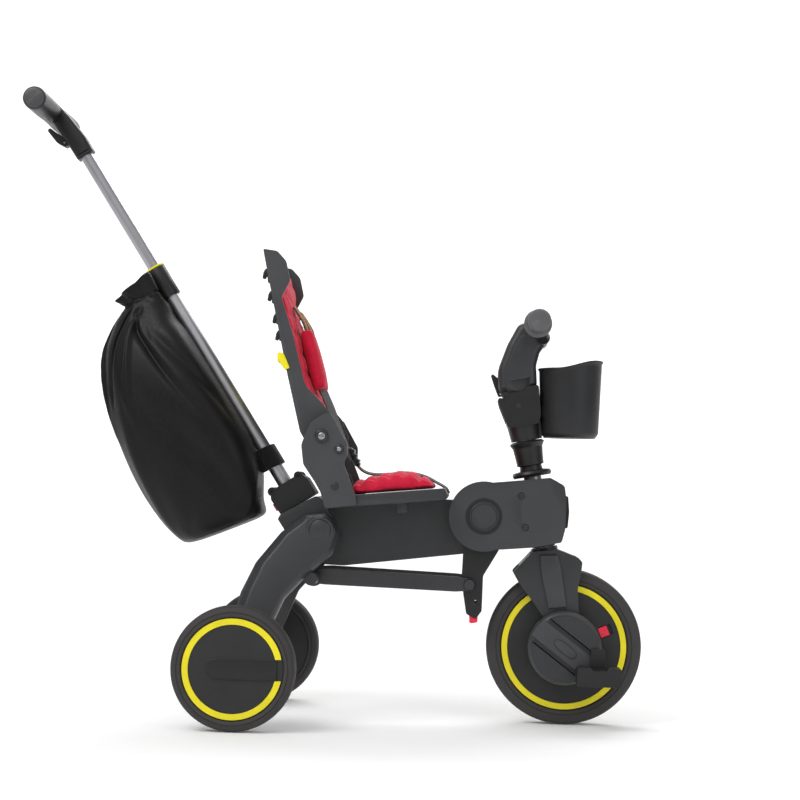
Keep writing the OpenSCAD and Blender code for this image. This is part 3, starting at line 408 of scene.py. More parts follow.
def flatBand(width, thick, count=20):  # section of a strap: flat, with rounded edges
    angle = np.linspace(0, 2 * pi, count, endpoint=False)
    c, s = np.cos(angle), np.sin(angle)
    across = np.sign(c) * np.abs(c) ** 0.25 * width / 2
    out = np.sign(s) * np.abs(s) ** 0.5 * thick / 2
    return np.stack([across, out], 1)


def leaning(foot, lean):  # turns places measured along a leaning line into places on the whole object
    a = radians(lean)
    along, up = np.array([np.cos(a), 0, np.sin(a)]), np.array([-np.sin(a), 0, np.cos(a)])
    origin = np.array([foot[0], 0, foot[1]])

    def place(x, y, z):
        x, y, z = np.broadcast_arrays(np.asarray(x, float), y, z)
        return origin + x[..., None] * along + y[..., None] * np.array([0, 1, 0]) + z[..., None] * up
    return place, up


def onLean(place, outline):  # a flat XZ outline laid on a leaning line's own plane
    spots = place(outline[:, 0], 0.0, outline[:, 1])
    return spots[:, [0, 2]]


def softCopy(node, edge, finish, sharp=32.0, steps=3):
    # A welded copy of a node with every hard edge rounded over
    source = frame["nodes"][node]
    mesh = source.data.copy()
    work = bmesh.new()
    work.from_mesh(mesh)
    bmesh.ops.remove_doubles(work, verts=work.verts, dist=8e-6)
    bmesh.ops.dissolve_limit(work, angle_limit=radians(1.0), verts=work.verts, edges=work.edges)
    work.to_mesh(mesh)
    work.free()
    for layer in [a for a in mesh.attributes if a.name == "custom_normal"]:
        mesh.attributes.remove(layer)
    mesh.shade_smooth()
    mesh.set_sharp_from_angle(angle=radians(sharp))
    mesh.materials.clear()
    mesh.materials.append(finish)
    piece = bpy.data.objects.new(node + "Soft", mesh)
    bpy.context.scene.collection.objects.link(piece)
    bevel = piece.modifiers.new("softEdges", "BEVEL")
    bevel.width = edge * mm
    bevel.segments = steps
    bevel.limit_method = "ANGLE"
    bevel.angle_limit = radians(sharp)
    bevel.harden_normals = True
    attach(piece, source["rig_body"])
    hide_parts(node)
    return piece


def dress(nodes, finish):  # gives nodes that stay as they are their finish
    for node in nodes:
        mesh = frame["nodes"][node].data
        mesh.materials.clear()
        mesh.materials.append(finish)


steer = leaning((322.6, 330), 10.5)[0]  # steering column
tube, tubeUp = leaning((-79, 366), 32.9)  # push handle
panFoot, panLean = (-3, 328), 5.6
pan = leaning(panFoot, panLean)[0]  # seat

# Pieces that keep their form
dress(["lower_handle_tube"], tubeAlloy)
dress(["upper_handle_tube"], innerAlloy)
dress(["hub_pin", "steering_column", "crank_axle", "rear_pivot_shaft", "rear_stub_axles"], pinSteel)
dress(["head_screws", "backrest_bolts", "strut_rivets", "yoke_pin"], blackSteel)
dress(["steering_bushes", "wheel_bushes", "handlebar_tube", "stem_sleeve"], blackPlastic)
dress(["clutch_slider", "fold_release_tab", "handle_release_button"], signalRedPlastic)
dress(["hub_caps"], charcoalPlastic)
softened = {  # how far each edge is rounded over, in millimetres
    "main_beam": (2.5, charcoalPlastic, "dark_plastic"),
    "rear_mount": (2.0, charcoalPlastic, "dark_plastic"),
    "head_housing_right": (3.0, charcoalPlastic, "grey_plastic"),
    "head_housing_left": (3.0, charcoalPlastic, "grey_plastic"),
    "steering_lock_button": (1.5, blackPlastic, "dark_plastic"),
    "fork": (2.0, charcoalPlastic, "grey_plastic"),
    "yoke_socket": (1.5, blackPlastic, "dark_plastic"),
    "handlebar_latch": (1.5, blackPlastic, "dark_plastic"),
    "fold_arms": (1.2, blackPlastic, "dark_plastic"),
    "side_struts": (1.5, blackSteel, "black_steel"),
    "seat_pan": (2.0, charcoalPlastic, "grey_plastic"),
    "seat_brackets": (1.5, slatePlastic, "grey_plastic"),
    "backrest_shell": (1.2, slatePlastic, "grey_plastic"),
    "handle_socket": (2.0, blackPlastic, "dark_plastic"),
    "push_bar_trigger": (1.5, blackPlastic, "dark_plastic"),
    "pedal_right": (1.2, blackPlastic, "dark_plastic"),
    "pedal_left": (1.2, blackPlastic, "dark_plastic"),
    "crank_right": (1.5, slatePlastic, "grey_plastic"),
    "crank_left": (1.5, slatePlastic, "grey_plastic"),
    "front_wheel_disc": (1.0, wheelPlastic, "wheel_plastic"),
    "rear_wheel_right": (0.8, wheelPlastic, "wheel_plastic"),
    "rear_wheel_left": (0.8, wheelPlastic, "wheel_plastic"),
    "front_wheel_rings": (0.5, lemonPlastic, "yellow_plastic"),
    "rear_ring_right": (0.5, lemonPlastic, "yellow_plastic"),
    "rear_ring_left": (0.5, lemonPlastic, "yellow_plastic")}
for node, (edge, finish, slotName) in softened.items():
    softCopy(node, edge, finish)
print("moulded pieces softened")


def bodyOf(node):  # the body that a node rides on
    return frame["nodes"][node]["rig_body"]


def smoothRows(table, count):  # rows of numbers turned into smooth, evenly stepped rows
    p = np.array(table, float)
    p = np.vstack([2 * p[0] - p[1], p, 2 * p[-1] - p[-2]])
    t = np.linspace(0, len(p) - 3, count)
    k = np.minimum(t.astype(int), len(p) - 4)
    t = (t - k)[:, None]
    a, b, c, d = p[k], p[k + 1], p[k + 2], p[k + 3]
    return bend(a, b, c, d, t)


def creaseField(rows, cols, creases):
    # Height of folds in a (row share, angle) plane: each fold is a line with its own depth and breadth
    s, turn = np.meshgrid(rows, cols, indexing="ij")
    total = np.zeros_like(s)
    for s0, a0, s1, a1, depth, breadth in creases:
        squared = (s1 - s0) ** 2 + (a1 - a0) ** 2
        share = np.clip(((s - s0) * (s1 - s0) + (turn - a0) * (a1 - a0)) / squared, 0, 1)
        off = np.hypot(s - s0 - share * (s1 - s0), (turn - a0 - share * (a1 - a0)) * 0.35)
        fade = 0.35 + 0.65 * np.sin(pi * np.clip(share, 0.02, 0.98))
        total += depth * np.exp(-(off / breadth) ** 2) * fade
    return total


# Storage bag
# Cross sections between a back and a tube-side edge, as (back x, back z, front x, front z, half depth)
bag = {"sections": [(-118, -17, -110, -19, 3), (-150, -11, -84, -23, 34), (-172, -5, -62, -26, 62),
                    (-183, 3, -50, -22, 73), (-190, 20, -42, -2, 80), (-197, 55, -18, 40, 86),
                    (-200, 105, -6, 95, 89), (-197, 160, -4, 150, 89), (-188, 212, -4, 205, 85),
                    (-173, 258, -4, 250, 77), (-155, 296, -5, 285, 67), (-134, 326, -9, 312, 55),
                    (-104, 350, -7, 331, 45), (-84, 362, -7, 343, 40), (-73, 367, -8, 352, 37),
                    (-71, 372, -8, 364, 37), (-76, 378, -7, 378, 40), (-79, 384, -7, 394, 41),
                    (-71, 380, -16, 391, 32), (-58, 369, -34, 374, 16), (-48, 365, -42, 366, 2)],
       "pleats": 7, "pleatDepth": 3.6,
       "foldDepth": 1.3,
       "folds": [(0.38, 3.35, 0.62, 3.25, -7, 0.022), (0.40, 3.62, 0.62, 3.42, 5, 0.028),
                 (0.45, 3.85, 0.64, 4.2, -8, 0.02), (0.42, 4.2, 0.62, 4.65, 5, 0.028),
                 (0.38, 5.1, 0.62, 4.5, -6.5, 0.022), (0.36, 5.6, 0.52, 5.0, -4, 0.028),
                 (0.20, 3.6, 0.42, 4.1, 3, 0.05), (0.14, 5.5, 0.42, 4.4, -4, 0.045),
                 (0.20, 4.1, 0.34, 4.9, -3, 0.035), (0.10, 4.9, 0.26, 5.9, 3, 0.03),
                 (0.38, 2.8, 0.62, 2.95, -6, 0.022), (0.40, 2.2, 0.62, 1.8, 5, 0.028),
                 (0.22, 2.7, 0.42, 2.1, 3, 0.05), (0.16, 0.9, 0.40, 1.9, -3.5, 0.045),
                 (0.38, 1.1, 0.60, 1.6, -5, 0.022)]}


def sewBag():
    # Each row is a rounded ring between its two edges, with pleats near the mouth and folds in and out
    share = np.linspace(0, 1, 150)
    rows = smoothRows(bag["sections"], len(share))
    turn = np.linspace(0, 2 * pi, 240, endpoint=False)
    fine = np.linspace(0, 2 * pi, 4000, endpoint=False)
    c, s = np.cos(fine), np.sin(fine)
    ring = np.stack([np.where(c > 0, np.abs(c) ** 0.4, -np.abs(c) ** 0.86), np.sign(s) * np.abs(s) ** 0.8], 1)
    ringX, ringY = evenly(ring, len(turn)).T
    middle, reach = (rows[:, :2] + rows[:, 2:4]) / 2, (rows[:, 2:4] - rows[:, :2]) / 2
    gather = np.exp(-((share - 0.80) / 0.1) ** 2) + 0.9 * np.clip((share - 0.8) / 0.1, 0, 1)
    gather *= np.clip((1 - share) / 0.08, 0, 1)
    wobble = turn + 0.12 * np.sin(3 * turn + 0.7) + 0.07 * np.sin(5 * turn)
    pleat = gather[:, None] * np.cos(bag["pleats"] * wobble)[None, :] * bag["pleatDepth"]
    swell = bag["foldDepth"] * creaseField(share, turn, bag["folds"]) + pleat
    down = share[:, None]
    ripple = (0.9 * np.sin(2.2 * turn + 9 * down) + 0.7 * np.sin(5 * turn - 17 * down + 1.0)
              + 0.4 * np.sin(9 * turn + 31 * down))
    swell = swell + ripple * np.clip(np.minimum(share, 0.86 - share) / 0.12, 0, 1)[:, None]
    hem = np.exp(-((share - 0.735) / 0.006) ** 2) * -2.2 + np.exp(-((share - 0.13) / 0.005) ** 2) * -1.3
    swell = swell + hem[:, None] * (1 + 0.2 * np.sin(7 * turn))
    frontGuard = np.clip((1 - np.cos(turn)) / 0.22, 0.0, 1.0)[None, :]
    grow = swell * frontGuard
    scale = 1 + grow / np.maximum(rows[:, 4:5], 12)
    x = middle[:, :1] + reach[:, :1] * ringX * (1 + (scale - 1) * np.abs(rows[:, 4:5]) / np.maximum(
        np.abs(reach[:, :1]), 12))
    z = middle[:, 1:] + reach[:, 1:] * ringX * scale
    y = rows[:, 4:5] * ringY * scale
    lift = np.clip((share - 0.86) / 0.04, 0, 1) * np.clip((0.985 - share) / 0.05, 0, 1)
    z = z + lift[:, None] * (3.0 * np.sin(5 * wobble + 0.6) - 7.0 * np.clip((-48 - x) / 14, 0, 1))
    clear = np.where(z > 338, -16.6, -12.6) + np.clip((np.abs(y) - 14) / 10, 0, 1) * 9.0
    piece = gridSurface("storageBag", tube(np.minimum(x, clear), y, z), bagNylon, bodyOf("storage_bag"),
                        wrapV=True, capU=True, sharp=180)
    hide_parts("storage_bag")
    return piece


sewBag()
# Loop of hook tape that holds the bag to the tube: a band whose path runs round the tube and back
bagLoop = {"at": 46, "width": 35, "thick": 2.4, "radius": 14.4}
sweepAngle = np.linspace(radians(150), radians(-150), 40)
loopX = bagLoop["radius"] * np.cos(sweepAngle) + 3.5 * np.exp(-((sweepAngle - 0.6) / 0.5) ** 2)
loopY = bagLoop["radius"] * np.sin(sweepAngle)
loopX = np.concatenate([[-34, -24], loopX, [-24, -34]])
loopY = np.concatenate([[11, 9.5], loopY, [-9.5, -11]])
loopPath = smoothPath(np.stack([loopX, loopY], 1), 90)
piece = carried("bagLoop", tube(loopPath[:, 0], loopPath[:, 1], bagLoop["at"] - 0.10 * loopPath[:, 0]),
                flatBand(bagLoop["width"], bagLoop["thick"]), tubeUp, hookTape, bodyOf("storage_bag"))
print("bag sewn")


# Padded pieces


def channel(place, seams, breadth):  # 1 on a sewn seam, falling to 0 beside it
    return sum(np.exp(-((place - seam) / breadth) ** 2) for seam in seams)


def puffUp(piece, cap, voxel=5.0, pressure=4.0):
    # Blows the closed form up as cloth, lets no point move further than the cap, and keeps the result
    remesh = piece.modifiers.new("remesh", "REMESH")
    remesh.mode = "VOXEL"
    remesh.voxel_size = voxel * mm
    remesh.use_smooth_shade = True
    view = bpy.context.evaluated_depsgraph_get()
    piece.data = bpy.data.meshes.new_from_object(piece.evaluated_get(view))
    piece.modifiers.clear()
    start = np.zeros(len(piece.data.vertices) * 3, np.float32)
    piece.data.vertices.foreach_get("co", start)
    cloth = piece.modifiers.new("cloth", "CLOTH")
    cloth.settings.use_pressure = True
    cloth.settings.uniform_pressure_force = pressure
    cloth.settings.effector_weights.gravity = 0.0
    cloth.settings.quality = 5
    scene = bpy.context.scene
    for step in range(1, 21):
        scene.frame_set(step)
    view = bpy.context.evaluated_depsgraph_get()
    blown = bpy.data.meshes.new_from_object(piece.evaluated_get(view))
    piece.modifiers.clear()
    end = np.zeros_like(start)
    blown.vertices.foreach_get("co", end)
    move = (end - start).reshape(-1, 3)
    size = np.linalg.norm(move, axis=1, keepdims=True)
    move *= np.minimum(1.0, cap * mm / np.maximum(size, 1e-9))
    piece.data.vertices.foreach_set("co", (start.reshape(-1, 3) + move).ravel())
    piece.data.update()
    piece.data.shade_smooth()
    scene.frame_set(1)
    return piece


def reshape(piece, change):
    # Moves a piece's points by a rule that takes and gives whole arrays, in millimetres
    flat = np.zeros(len(piece.data.vertices) * 3, np.float32)
    piece.data.vertices.foreach_get("co", flat)
    moved = change(flat.reshape(-1, 3).astype(float) / mm) * mm
    piece.data.vertices.foreach_set("co", moved.ravel().astype(np.float32))
    piece.data.update()


def smoothOver(piece, levels=1):  # one subdivision, the same in view and render
    finer = piece.modifiers.new("finer", "SUBSURF")
    finer.levels = finer.render_levels = levels
    return piece


def local(foot, lean):  # places on the whole object turned into places along a leaning line
    a = radians(lean)

    def back(points):
        dx, dz = points[:, 0] - foot[0], points[:, 2] - foot[1]
        return dx * np.cos(a) + dz * np.sin(a), points[:, 1], -dx * np.sin(a) + dz * np.cos(a)
    return back


cushion = {"start": 37.0, "end": 171.0, "halfWidth": 122.0, "base": 18.4,
           "crown": [(0, 13), (0.05, 22), (0.33, 25), (0.52, 28), (0.69, 27.5), (0.82, 21), (0.93, 13),
                     (1, 4)],
           "seams": [58, 80, 102, 124, 146], "seamDepth": 7.0}


def sewCushion():
    # A loop in the seat's side plane, flat below and crowned above, carried across and closed at its sides
    turn = np.linspace(0, 2 * pi, 96, endpoint=False)
    share = (1 - np.cos(turn)) / 2
    length = cushion["end"] - cushion["start"]
    crown = np.array(cushion["crown"], float)
    height = np.interp(share, crown[:, 0], crown[:, 1]) * np.clip(np.sin(turn), 0, 1) ** 0.35
    x = cushion["start"] + length * share
    across = np.linspace(-1, 1, 70)
    close = np.clip(1 - np.abs(across) ** 7, 0.0, 1) ** 0.5
    y = cushion["halfWidth"] * across[:, None] * (1 - 0.02 * np.abs(np.cos(turn)) ** 2)
    centre = cushion["start"] + length / 2
    grid = pan(centre + (x - centre) * (0.93 + 0.07 * close[:, None]), y,
               cushion["base"] + 0.3 + height * (0.45 + 0.55 * close[:, None]))
    piece = gridSurface("seatCushion", grid, crimsonCloth, None, wrapV=True, capU=True,
                        sharp=180)
    puffUp(piece, 3.0)
    toPan = local(panFoot, panLean)

    def quilt(points):
        a, y, up = toPan(points)
        crease = channel(a + 3.0 * np.cos(y / 19.0), cushion["seams"], 3.4)
        edge = channel(np.abs(y), [106.0], 2.6) * (a > 44) * (a < 164)
        above = np.clip((up - cushion["base"] - 3) / 8, 0, 1)
        up = np.maximum(up - above * (cushion["seamDepth"] * np.minimum(crease, 1) + 3.0 * edge), 18.0)
        return pan(a, y, up)
    reshape(piece, quilt)
    smoothOver(piece)
    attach(piece, bodyOf("seat_cushion"))
    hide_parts("seat_cushion")
    return piece


sewCushion()
backPad = {"rows": [(474, -36, -16), (486, -44, -16), (515, -56, -34), (555, -66, -46), (593, -75, -57),
                    (625, -82, -66), (650, -88, -74), (675, -93.5, -79), (694, -97, -84), (708, -97, -90)],
           "halfWidth": 109.0, "seams": [500, 530, 560, 590, 620, 650, 680], "seamDepth": 3.2}


def sewBackPad():
    # A flattened ring in the level plane carried up the backrest: its depth and place follow the rows
    rowCount = 90
    rows = smoothRows(backPad["rows"], rowCount)
    turn = np.linspace(0, 2 * pi, 110, endpoint=False)
    c, s = np.cos(turn), np.sin(turn)
    wide, deep = np.sign(s) * np.abs(s) ** 0.55, np.sign(c) * np.abs(c) ** 0.8
    close = np.clip(np.minimum(np.arange(rowCount), np.arange(rowCount)[::-1]) / 7.0, 0.0, 1.0)
    close = np.sin(close * pi / 2) ** 0.6
    middle, half = (rows[:, 1:2] + rows[:, 2:3]) / 2, (rows[:, 2:3] - rows[:, 1:2]) / 2
    x = middle + half * deep * (0.15 + 0.85 * close[:, None])
    y = backPad["halfWidth"] * wide * (0.9 + 0.1 * close[:, None])
    grid = np.stack(np.broadcast_arrays(x, y, rows[:, :1]), -1)
    piece = gridSurface("backrestPad", grid, crimsonCloth, None, wrapV=True, capU=True,
                        sharp=180)
    puffUp(piece, 2.0)

    def quilt(points):
        x, y, z = points.T
        back = np.interp(z, rows[:, 0], rows[:, 1])
        front = np.interp(z, rows[:, 0], rows[:, 2])
        ahead = np.clip((x - (back + front) / 2) / np.maximum((front - back) / 2, 2), 0, 1)
        crease = np.minimum(channel(z + 6 * np.cos(y / 24.0), backPad["seams"], 4.2), 1)
        rib = channel(np.abs(y), [84.0], 3.0)
        x = np.maximum(x - ahead * (backPad["seamDepth"] * crease + 3.5 * rib), back - 1.5)
        return np.stack([x, y, z], 1)
    reshape(piece, quilt)
    smoothOver(piece)
    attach(piece, bodyOf("backrest_pad"))
    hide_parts("backrest_pad")
    return piece


sewBackPad()
sleeve = {"path": [(-46, 603), (-40, 580), (-31, 548), (-21, 512)], "width": 50.0, "thick": 20.0,
          "farBack": 5.0}


def sewSleeve(side):
    # A flattened ring carried down the strap, drawn in at both ends
    line = smoothPath(sleeve["path"], 60)
    path = np.stack([line[:, 0] - (sleeve["farBack"] if side > 0 else 0), np.full(60, side * 46.0),
                     line[:, 1]], 1)
    turn = np.linspace(0, 2 * pi, 72, endpoint=False)
    c, s = np.cos(turn), np.sin(turn)
    section = np.stack([np.sign(c) * np.abs(c) ** 0.35 * sleeve["width"] / 2,
                        np.sign(s) * np.abs(s) ** 0.4 * sleeve["thick"] / 2], 1)
    share = np.linspace(0, 1, 60)
    end = np.clip(np.minimum(share, 1 - share) / 0.05, 0, 1)
    size = np.stack([0.9 + 0.1 * end ** 0.5, 0.55 + 0.45 * end ** 0.5], 1)
    piece = carried("shoulderSleeve" + ("Left" if side > 0 else "Right"), path, section, (0, 1, 0),
                    crimsonCloth, None, scale=size, sharp=180)
    puffUp(piece, 2.5, voxel=4.0)
    smoothOver(piece)
    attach(piece, bodyOf("shoulder_straps"))
    return piece


sleeves = [sewSleeve(-1), sewSleeve(1)]
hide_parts("shoulder_straps")
harness = {"width": 25.0, "thick": 1.8,
           "upper": [(-66, 46, 640), (-58, 46, 629), (-49, 46, 614), (-44, 46, 600)],
           "lower": [(-22, 45, 514), (-10, 43, 488), (2, 38, 458), (14, 30, 430), (27, 22, 404)]}
for side, tag in ((-1, "Right"), (1, "Left")):
    for part, name in (("upper", "harnessTop"), ("lower", "harnessLow")):
        path = smoothPath([(x, side * y, z) for x, y, z in harness[part]], 50)
        strap = carried(name + tag, path, flatBand(harness["width"], harness["thick"]), (0.3, 1, -0.1),
                        blackWebbing, None)
        if part == "lower":
            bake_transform(strap, bodyOf("shoulder_straps"), bodyOf("seat_cushion"), start=tuple(path[4] * mm),
                     end=tuple(path[-3] * mm))
        else:
            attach(strap, bodyOf("shoulder_straps"))
        if part == "upper":
            for edge in (-1, 1):
                trim = path + np.array([1.0, edge * 10.5, 0.6])
                carried("amberTrim" + tag + ("Out" if edge * side > 0 else "In"), trim, flatBand(3.2, 1.6),
                        (0, 1, 0), amberThread, bodyOf("shoulder_straps"))
crotch = {"width": 20.0, "thick": 2.4,
          "path": [(33, 86), (41, 70), (53, 55), (68, 48), (92, 46), (123, 46), (150, 38.5), (169, 27),
                   (183, 17), (187, 9)]}
line = smoothPath(crotch["path"], 110)
crotchStrap = carried("crotchStrap", pan(line[:, 0], 0.0, line[:, 1]),
                      flatBand(crotch["width"], crotch["thick"]), (0, 1, 0.16), blackWebbing,
                      bodyOf("crotch_strap"))
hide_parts("crotch_strap")
buckleLine = roundedOutline([(29, 88, 2), (44, 60, 3), (51, 64, 3), (39, 93, 3)], 60)
mouldedPlate("harnessBuckle", onLean(pan, buckleLine), softEdges(-18, 18, 4), blackPlastic,
             bodyOf("crotch_strap"))
for row in range(3):
    rib = [(44.5 - row * 3.4, 67 + row * 8, 0.6), (50.5 - row * 3.4, 70 + row * 8, 0.6),
           (49.5 - row * 3.4, 73 + row * 8, 0.6), (43.5 - row * 3.4, 70 + row * 8, 0.6)]
    mouldedPlate("buckleRib" + str(row), onLean(pan, roundedOutline(rib, 40)), softEdges(-19, 19, 0.8),
                 blackPlastic, bodyOf("crotch_strap"))
print("padding and straps sewn")


# Rear legs
leg = {"pivot": (-12, 294), "innerFace": 84.4, "thick": 26.0, "splay": 15.6, "footFace": 180.0,
       "outline": [(-24, 24, 8), (-60, -4, 20), (-96, -52, 30), (-116, -98, 20), (-126, -135, 20),
                   (-136, -190, 20), (-130, -232, 16), (-96, -232, 16), (-84, -190, 20), (-65, -143, 20),
                   (-50, -106, 20), (-24, -76, 20), (20, -34, 16), (30, -4, 18), (14, 28, 18)],
       "backBevel": 15.0, "frontBevel": 5.0}


def mouldLeg(side):
    # The outline repeated through the thickness; towards the outer face its back edge is drawn in more
    line = roundedOutline(leg["outline"], 220)
    inner = drawIn(line, 1.0, 24) - line
    bevel = leg["frontBevel"] + (leg["backBevel"] - leg["frontBevel"]) * np.clip(unit(inner)[:, 0], 0, 1)
    half = leg["thick"] / 2
    depths = [(-half, 0.25), (-half + 1.2, 0.08), (-half + 3, 0.0), (-1, 0.0), (4.5, 0.28), (8.5, 0.62),
              (11, 0.86), (12.4, 0.97), (13.0, 1.06), (13.2, 1.25)]
    tilt = radians(leg["splay"])
    rings = []
    for y, share in depths:
        flat = drawIn(line, bevel * share, 24)
        spotY = leg["innerFace"] + half + y * np.cos(tilt) - flat[:, 1] * np.sin(tilt)
        spotZ = leg["pivot"][1] + y * np.sin(tilt) + flat[:, 1] * np.cos(tilt)
        spotY = np.clip(spotY, leg["innerFace"], leg["footFace"])
        rings.append(np.stack([leg["pivot"][0] + flat[:, 0], side * spotY, spotZ], 1))
    tag = "Left" if side > 0 else "Right"
    node = "rear_leg_" + tag.lower()
    body = bodyOf(node)
    piece = gridSurface("rearLeg" + tag, np.stack(rings), charcoalPlastic, body, wrapV=True,
                        capU=True, sharp=30)
    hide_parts(node)
    out = (0, side, 0)
    turnedPart("legBoss" + tag, [(0.01, 85), (22, 85), (23, 86.5), (23, 108), (20.5, 112.3), (17.2, 113),
                                 (16.9, 111.6), (16.4, 111.6), (16.1, 113.2), (15, 114), (0.01, 114.4)],
               (-12, 0, 294), out, charcoalPlastic, body)
    turnedPart("legFoot" + tag, [(0.01, 150), (16, 150), (18, 152), (18, 178), (16.5, 180), (0.01, 180)],
               (-125.9, 0, 92), out, charcoalPlastic, body)
    turnedPart("legPin" + tag, [(0.01, 60.5), (8.5, 60.5), (10, 62), (10, 112), (0.01, 112)],
               (-24, 0, 220.5), out, charcoalPlastic, body)


mouldLeg(-1)
mouldLeg(1)

# Tyres
tyres = {"front_tyre": (366.116, 121, 0, 121, 22.0, 98.0),
         "rear_tyre_right": (-125.884, 92, -204, 92, 21.0, 74.75),
         "rear_tyre_left": (-125.884, 92, 204, 92, 21.0, 74.75)}


def castTyre(node, x, z, y, radius, half, bead):
    # Half of the tyre's profile, from bead to crown, mirrored and turned about the axle
    side = [(bead, 1 - 4 / half), (bead + 1, 1 - 1.6 / half), (bead + 3, 1), (bead + 6.2, 1),
            (bead + 6.8, 1 - 0.7 / half), (bead + 7.6, 1 - 0.7 / half), (bead + 8.2, 1 - 0.1 / half),
            (radius - 5.6, 1 - 0.8 / half), (radius - 3.2, 1 - 2.4 / half), (radius - 1.4, 1 - 5.2 / half),
            (radius - 0.6, 1 - 8.5 / half)]
    tread = [(radius - 0.3, 0.5), (radius - 1.5, 0.47), (radius - 1.5, 0.43), (radius - 0.15, 0.4),
             (radius, 0.2), (radius, 0.09), (radius - 1.3, 0.06), (radius - 1.3, 0.02)]
    halfLine = [(r, -share * half) for r, share in side + tread]
    whole = halfLine + [(r, -h) for r, h in halfLine[::-1]]
    profile = np.array(whole + [(bead, -half + 4)])
    piece = turnedPart(node.replace("_", ""), profile, (x, y, z), (0, 1, 0), tyreRubber, bodyOf(node),
                       count=144, sharp=40)
    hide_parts(node)


for node, numbers in tyres.items():
    castTyre(node, *numbers)

# Oval covers on the cranks, laid along the band
crankCover = {"centre": (366.1, 121), "long": 21.0, "short": 8.5, "angle": -37.0, "inlay": 52.0, "band": 20.0}
for side, tag, node in ((-1, "Right", "crank_right"), (1, "Left", "crank_left")):
    lie = radians(crankCover["angle"])
    turn = np.linspace(0, 2 * pi, 80, endpoint=False)
    flat = np.stack([np.sign(np.cos(turn)) * np.abs(np.cos(turn)) ** 0.75 * crankCover["long"],
                     np.sign(np.sin(turn)) * np.abs(np.sin(turn)) ** 0.6 * crankCover["short"]], 1)
    spun = flat @ np.array([[np.cos(lie), np.sin(lie)], [-np.sin(lie), np.cos(lie)]]) + crankCover["centre"]
    steps = [(60, 0), (62.6, 0), (63.1, 0.5), (63.1, 1.0), (61.9, 1.2), (61.9, 1.7), (63.0, 2.0), (63.3, 2.6)]
    levels = [(side * y, amount) for y, amount in steps]
    mouldedPlate("crankCover" + tag, spun, levels, slatePlastic, bodyOf(node))

    for way in (-1, 1):
        bow = np.arccos(crankCover["band"] / crankCover["inlay"])
        sweepTurn = np.linspace(-bow, bow, 60)
        arc = np.stack([crankCover["inlay"] * np.sin(sweepTurn),
                        way * crankCover["inlay"] * np.cos(sweepTurn)], 1)
        arc = evenly(arc, 120) @ np.array([[np.cos(lie), np.sin(lie)], [-np.sin(lie), np.cos(lie)]])
        steps = [(60.5, 0), (62.0, 0), (62.5, 0.4), (62.5, 1.0), (62.1, 1.3), (62.1, 3.0)]
        levels = [(side * y, amount) for y, amount in steps]
        mouldedPlate("crankInlay" + tag + ("Low" if way < 0 else "High"), arc + crankCover["centre"], levels,
                     charcoalPlastic, bodyOf(node))

# Raised blades down the middle of both sides of the fork
forkBlade = {"outline": [(-10, -66, 3), (18, -70, 3), (20, -96, 12), (18.5, -153, 4), (-9.5, -151, 4),
                         (-12, -96, 12)],
             "low": 34.0, "high": 40.5, "edge": 2.5}
for side, tag in ((-1, "Right"), (1, "Left")):
    blade = onLean(steer, roundedOutline(forkBlade["outline"], 120))
    levels = [(side * y, a) for y, a in softEdges(forkBlade["low"], forkBlade["high"], forkBlade["edge"])]
    mouldedPlate("forkBlade" + tag, blade, levels, slatePlastic, bodyOf("fork"))
print("legs, tyres and fork moulded")

# Handlebar
yoke = {"outline": [(-22, 170, 5), (-31, 200, 16), (-27, 230, 40), (-6, 266, 40), (16, 294, 12),
                    (38, 298, 14), (58, 282, 12), (58, 262, 10), (42, 246, 14), (33, 226, 20), (30, 200, 10),
                    (24, 170, 5)],
        "half": 31.0, "edge": 11.0, "waist": 20.0}


def mouldYoke():
    # The outline repeated across the stem with deep rounded rims; it narrows to a tongue in the socket
    line = roundedOutline(yoke["outline"], 220)
    rings = []
    for y, amount in softEdges(-yoke["half"], yoke["half"], yoke["edge"], 9):
        flat = drawIn(line, amount, 30)
        rise = np.clip((flat[:, 1] - 192) / 10, 0, 1)
        waist = yoke["waist"] / yoke["half"]
        width = y * (waist + (1 - waist) * rise * rise * (3 - 2 * rise))
        rings.append(steer(flat[:, 0], width, flat[:, 1]))
    piece = gridSurface("handlebarYoke", np.stack(rings), charcoalPlastic, bodyOf("handlebar_yoke"),
                        wrapV=True, capU=True, sharp=60)
    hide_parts("handlebar_yoke")
    for side, tag in ((-1, "Right"), (1, "Left")):
        panel = roundedOutline([(-17, 209, 4), (-16, 226, 30), (2, 258, 40), (20, 280, 8), (30, 270, 8),
                                (27, 246, 20), (22, 224, 20), (21, 209, 4)], 140)
        levels = [(side * h, a) for h, a in ((26, 0), (30.2, 0), (30.9, 0.7), (31.15, 1.8))]
        mouldedPlate("yokePanel" + tag, onLean(steer, panel), levels, charcoalPlastic,
                     bodyOf("handlebar_yoke"))


mouldYoke()
grip = {"radius": 15.5, "start": 90, "end": 150, "ribs": 9}
for side, tag in ((-1, "Right"), (1, "Left")):
    along = np.linspace(grip["start"], grip["end"], 120)
    rib = 0.45 * np.sin((along - grip["start"]) / (grip["end"] - grip["start"]) * 2 * pi * grip["ribs"])
    waist = grip["radius"] - 0.9 * np.sin((along - grip["start"]) / 60 * pi) + rib
    profile = ([(10.05, 90), (19.5, 90), (21.5, 92), (21.5, 95), (19, 97.5), (16.2, 98.5)]
               + list(zip(waist[18:-2], along[18:-2]))
               + [(16.2, 149.6), (17.2, 150.2), (17.6, 151.6), (17.3, 154.2), (15.6, 156.8), (12, 158),
                  (0.01, 158)])
    piece = turnedPart("grip" + tag, profile, steer(43, 0, 285), (0, side, 0), gripRubber, bodyOf("grips"),
                       count=72)
    if side < 0:
        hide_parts("grips")

cup = {"x": 369, "floor": 446, "low": 555, "high": 568, "radius": 50.0, "wall": 2.6}


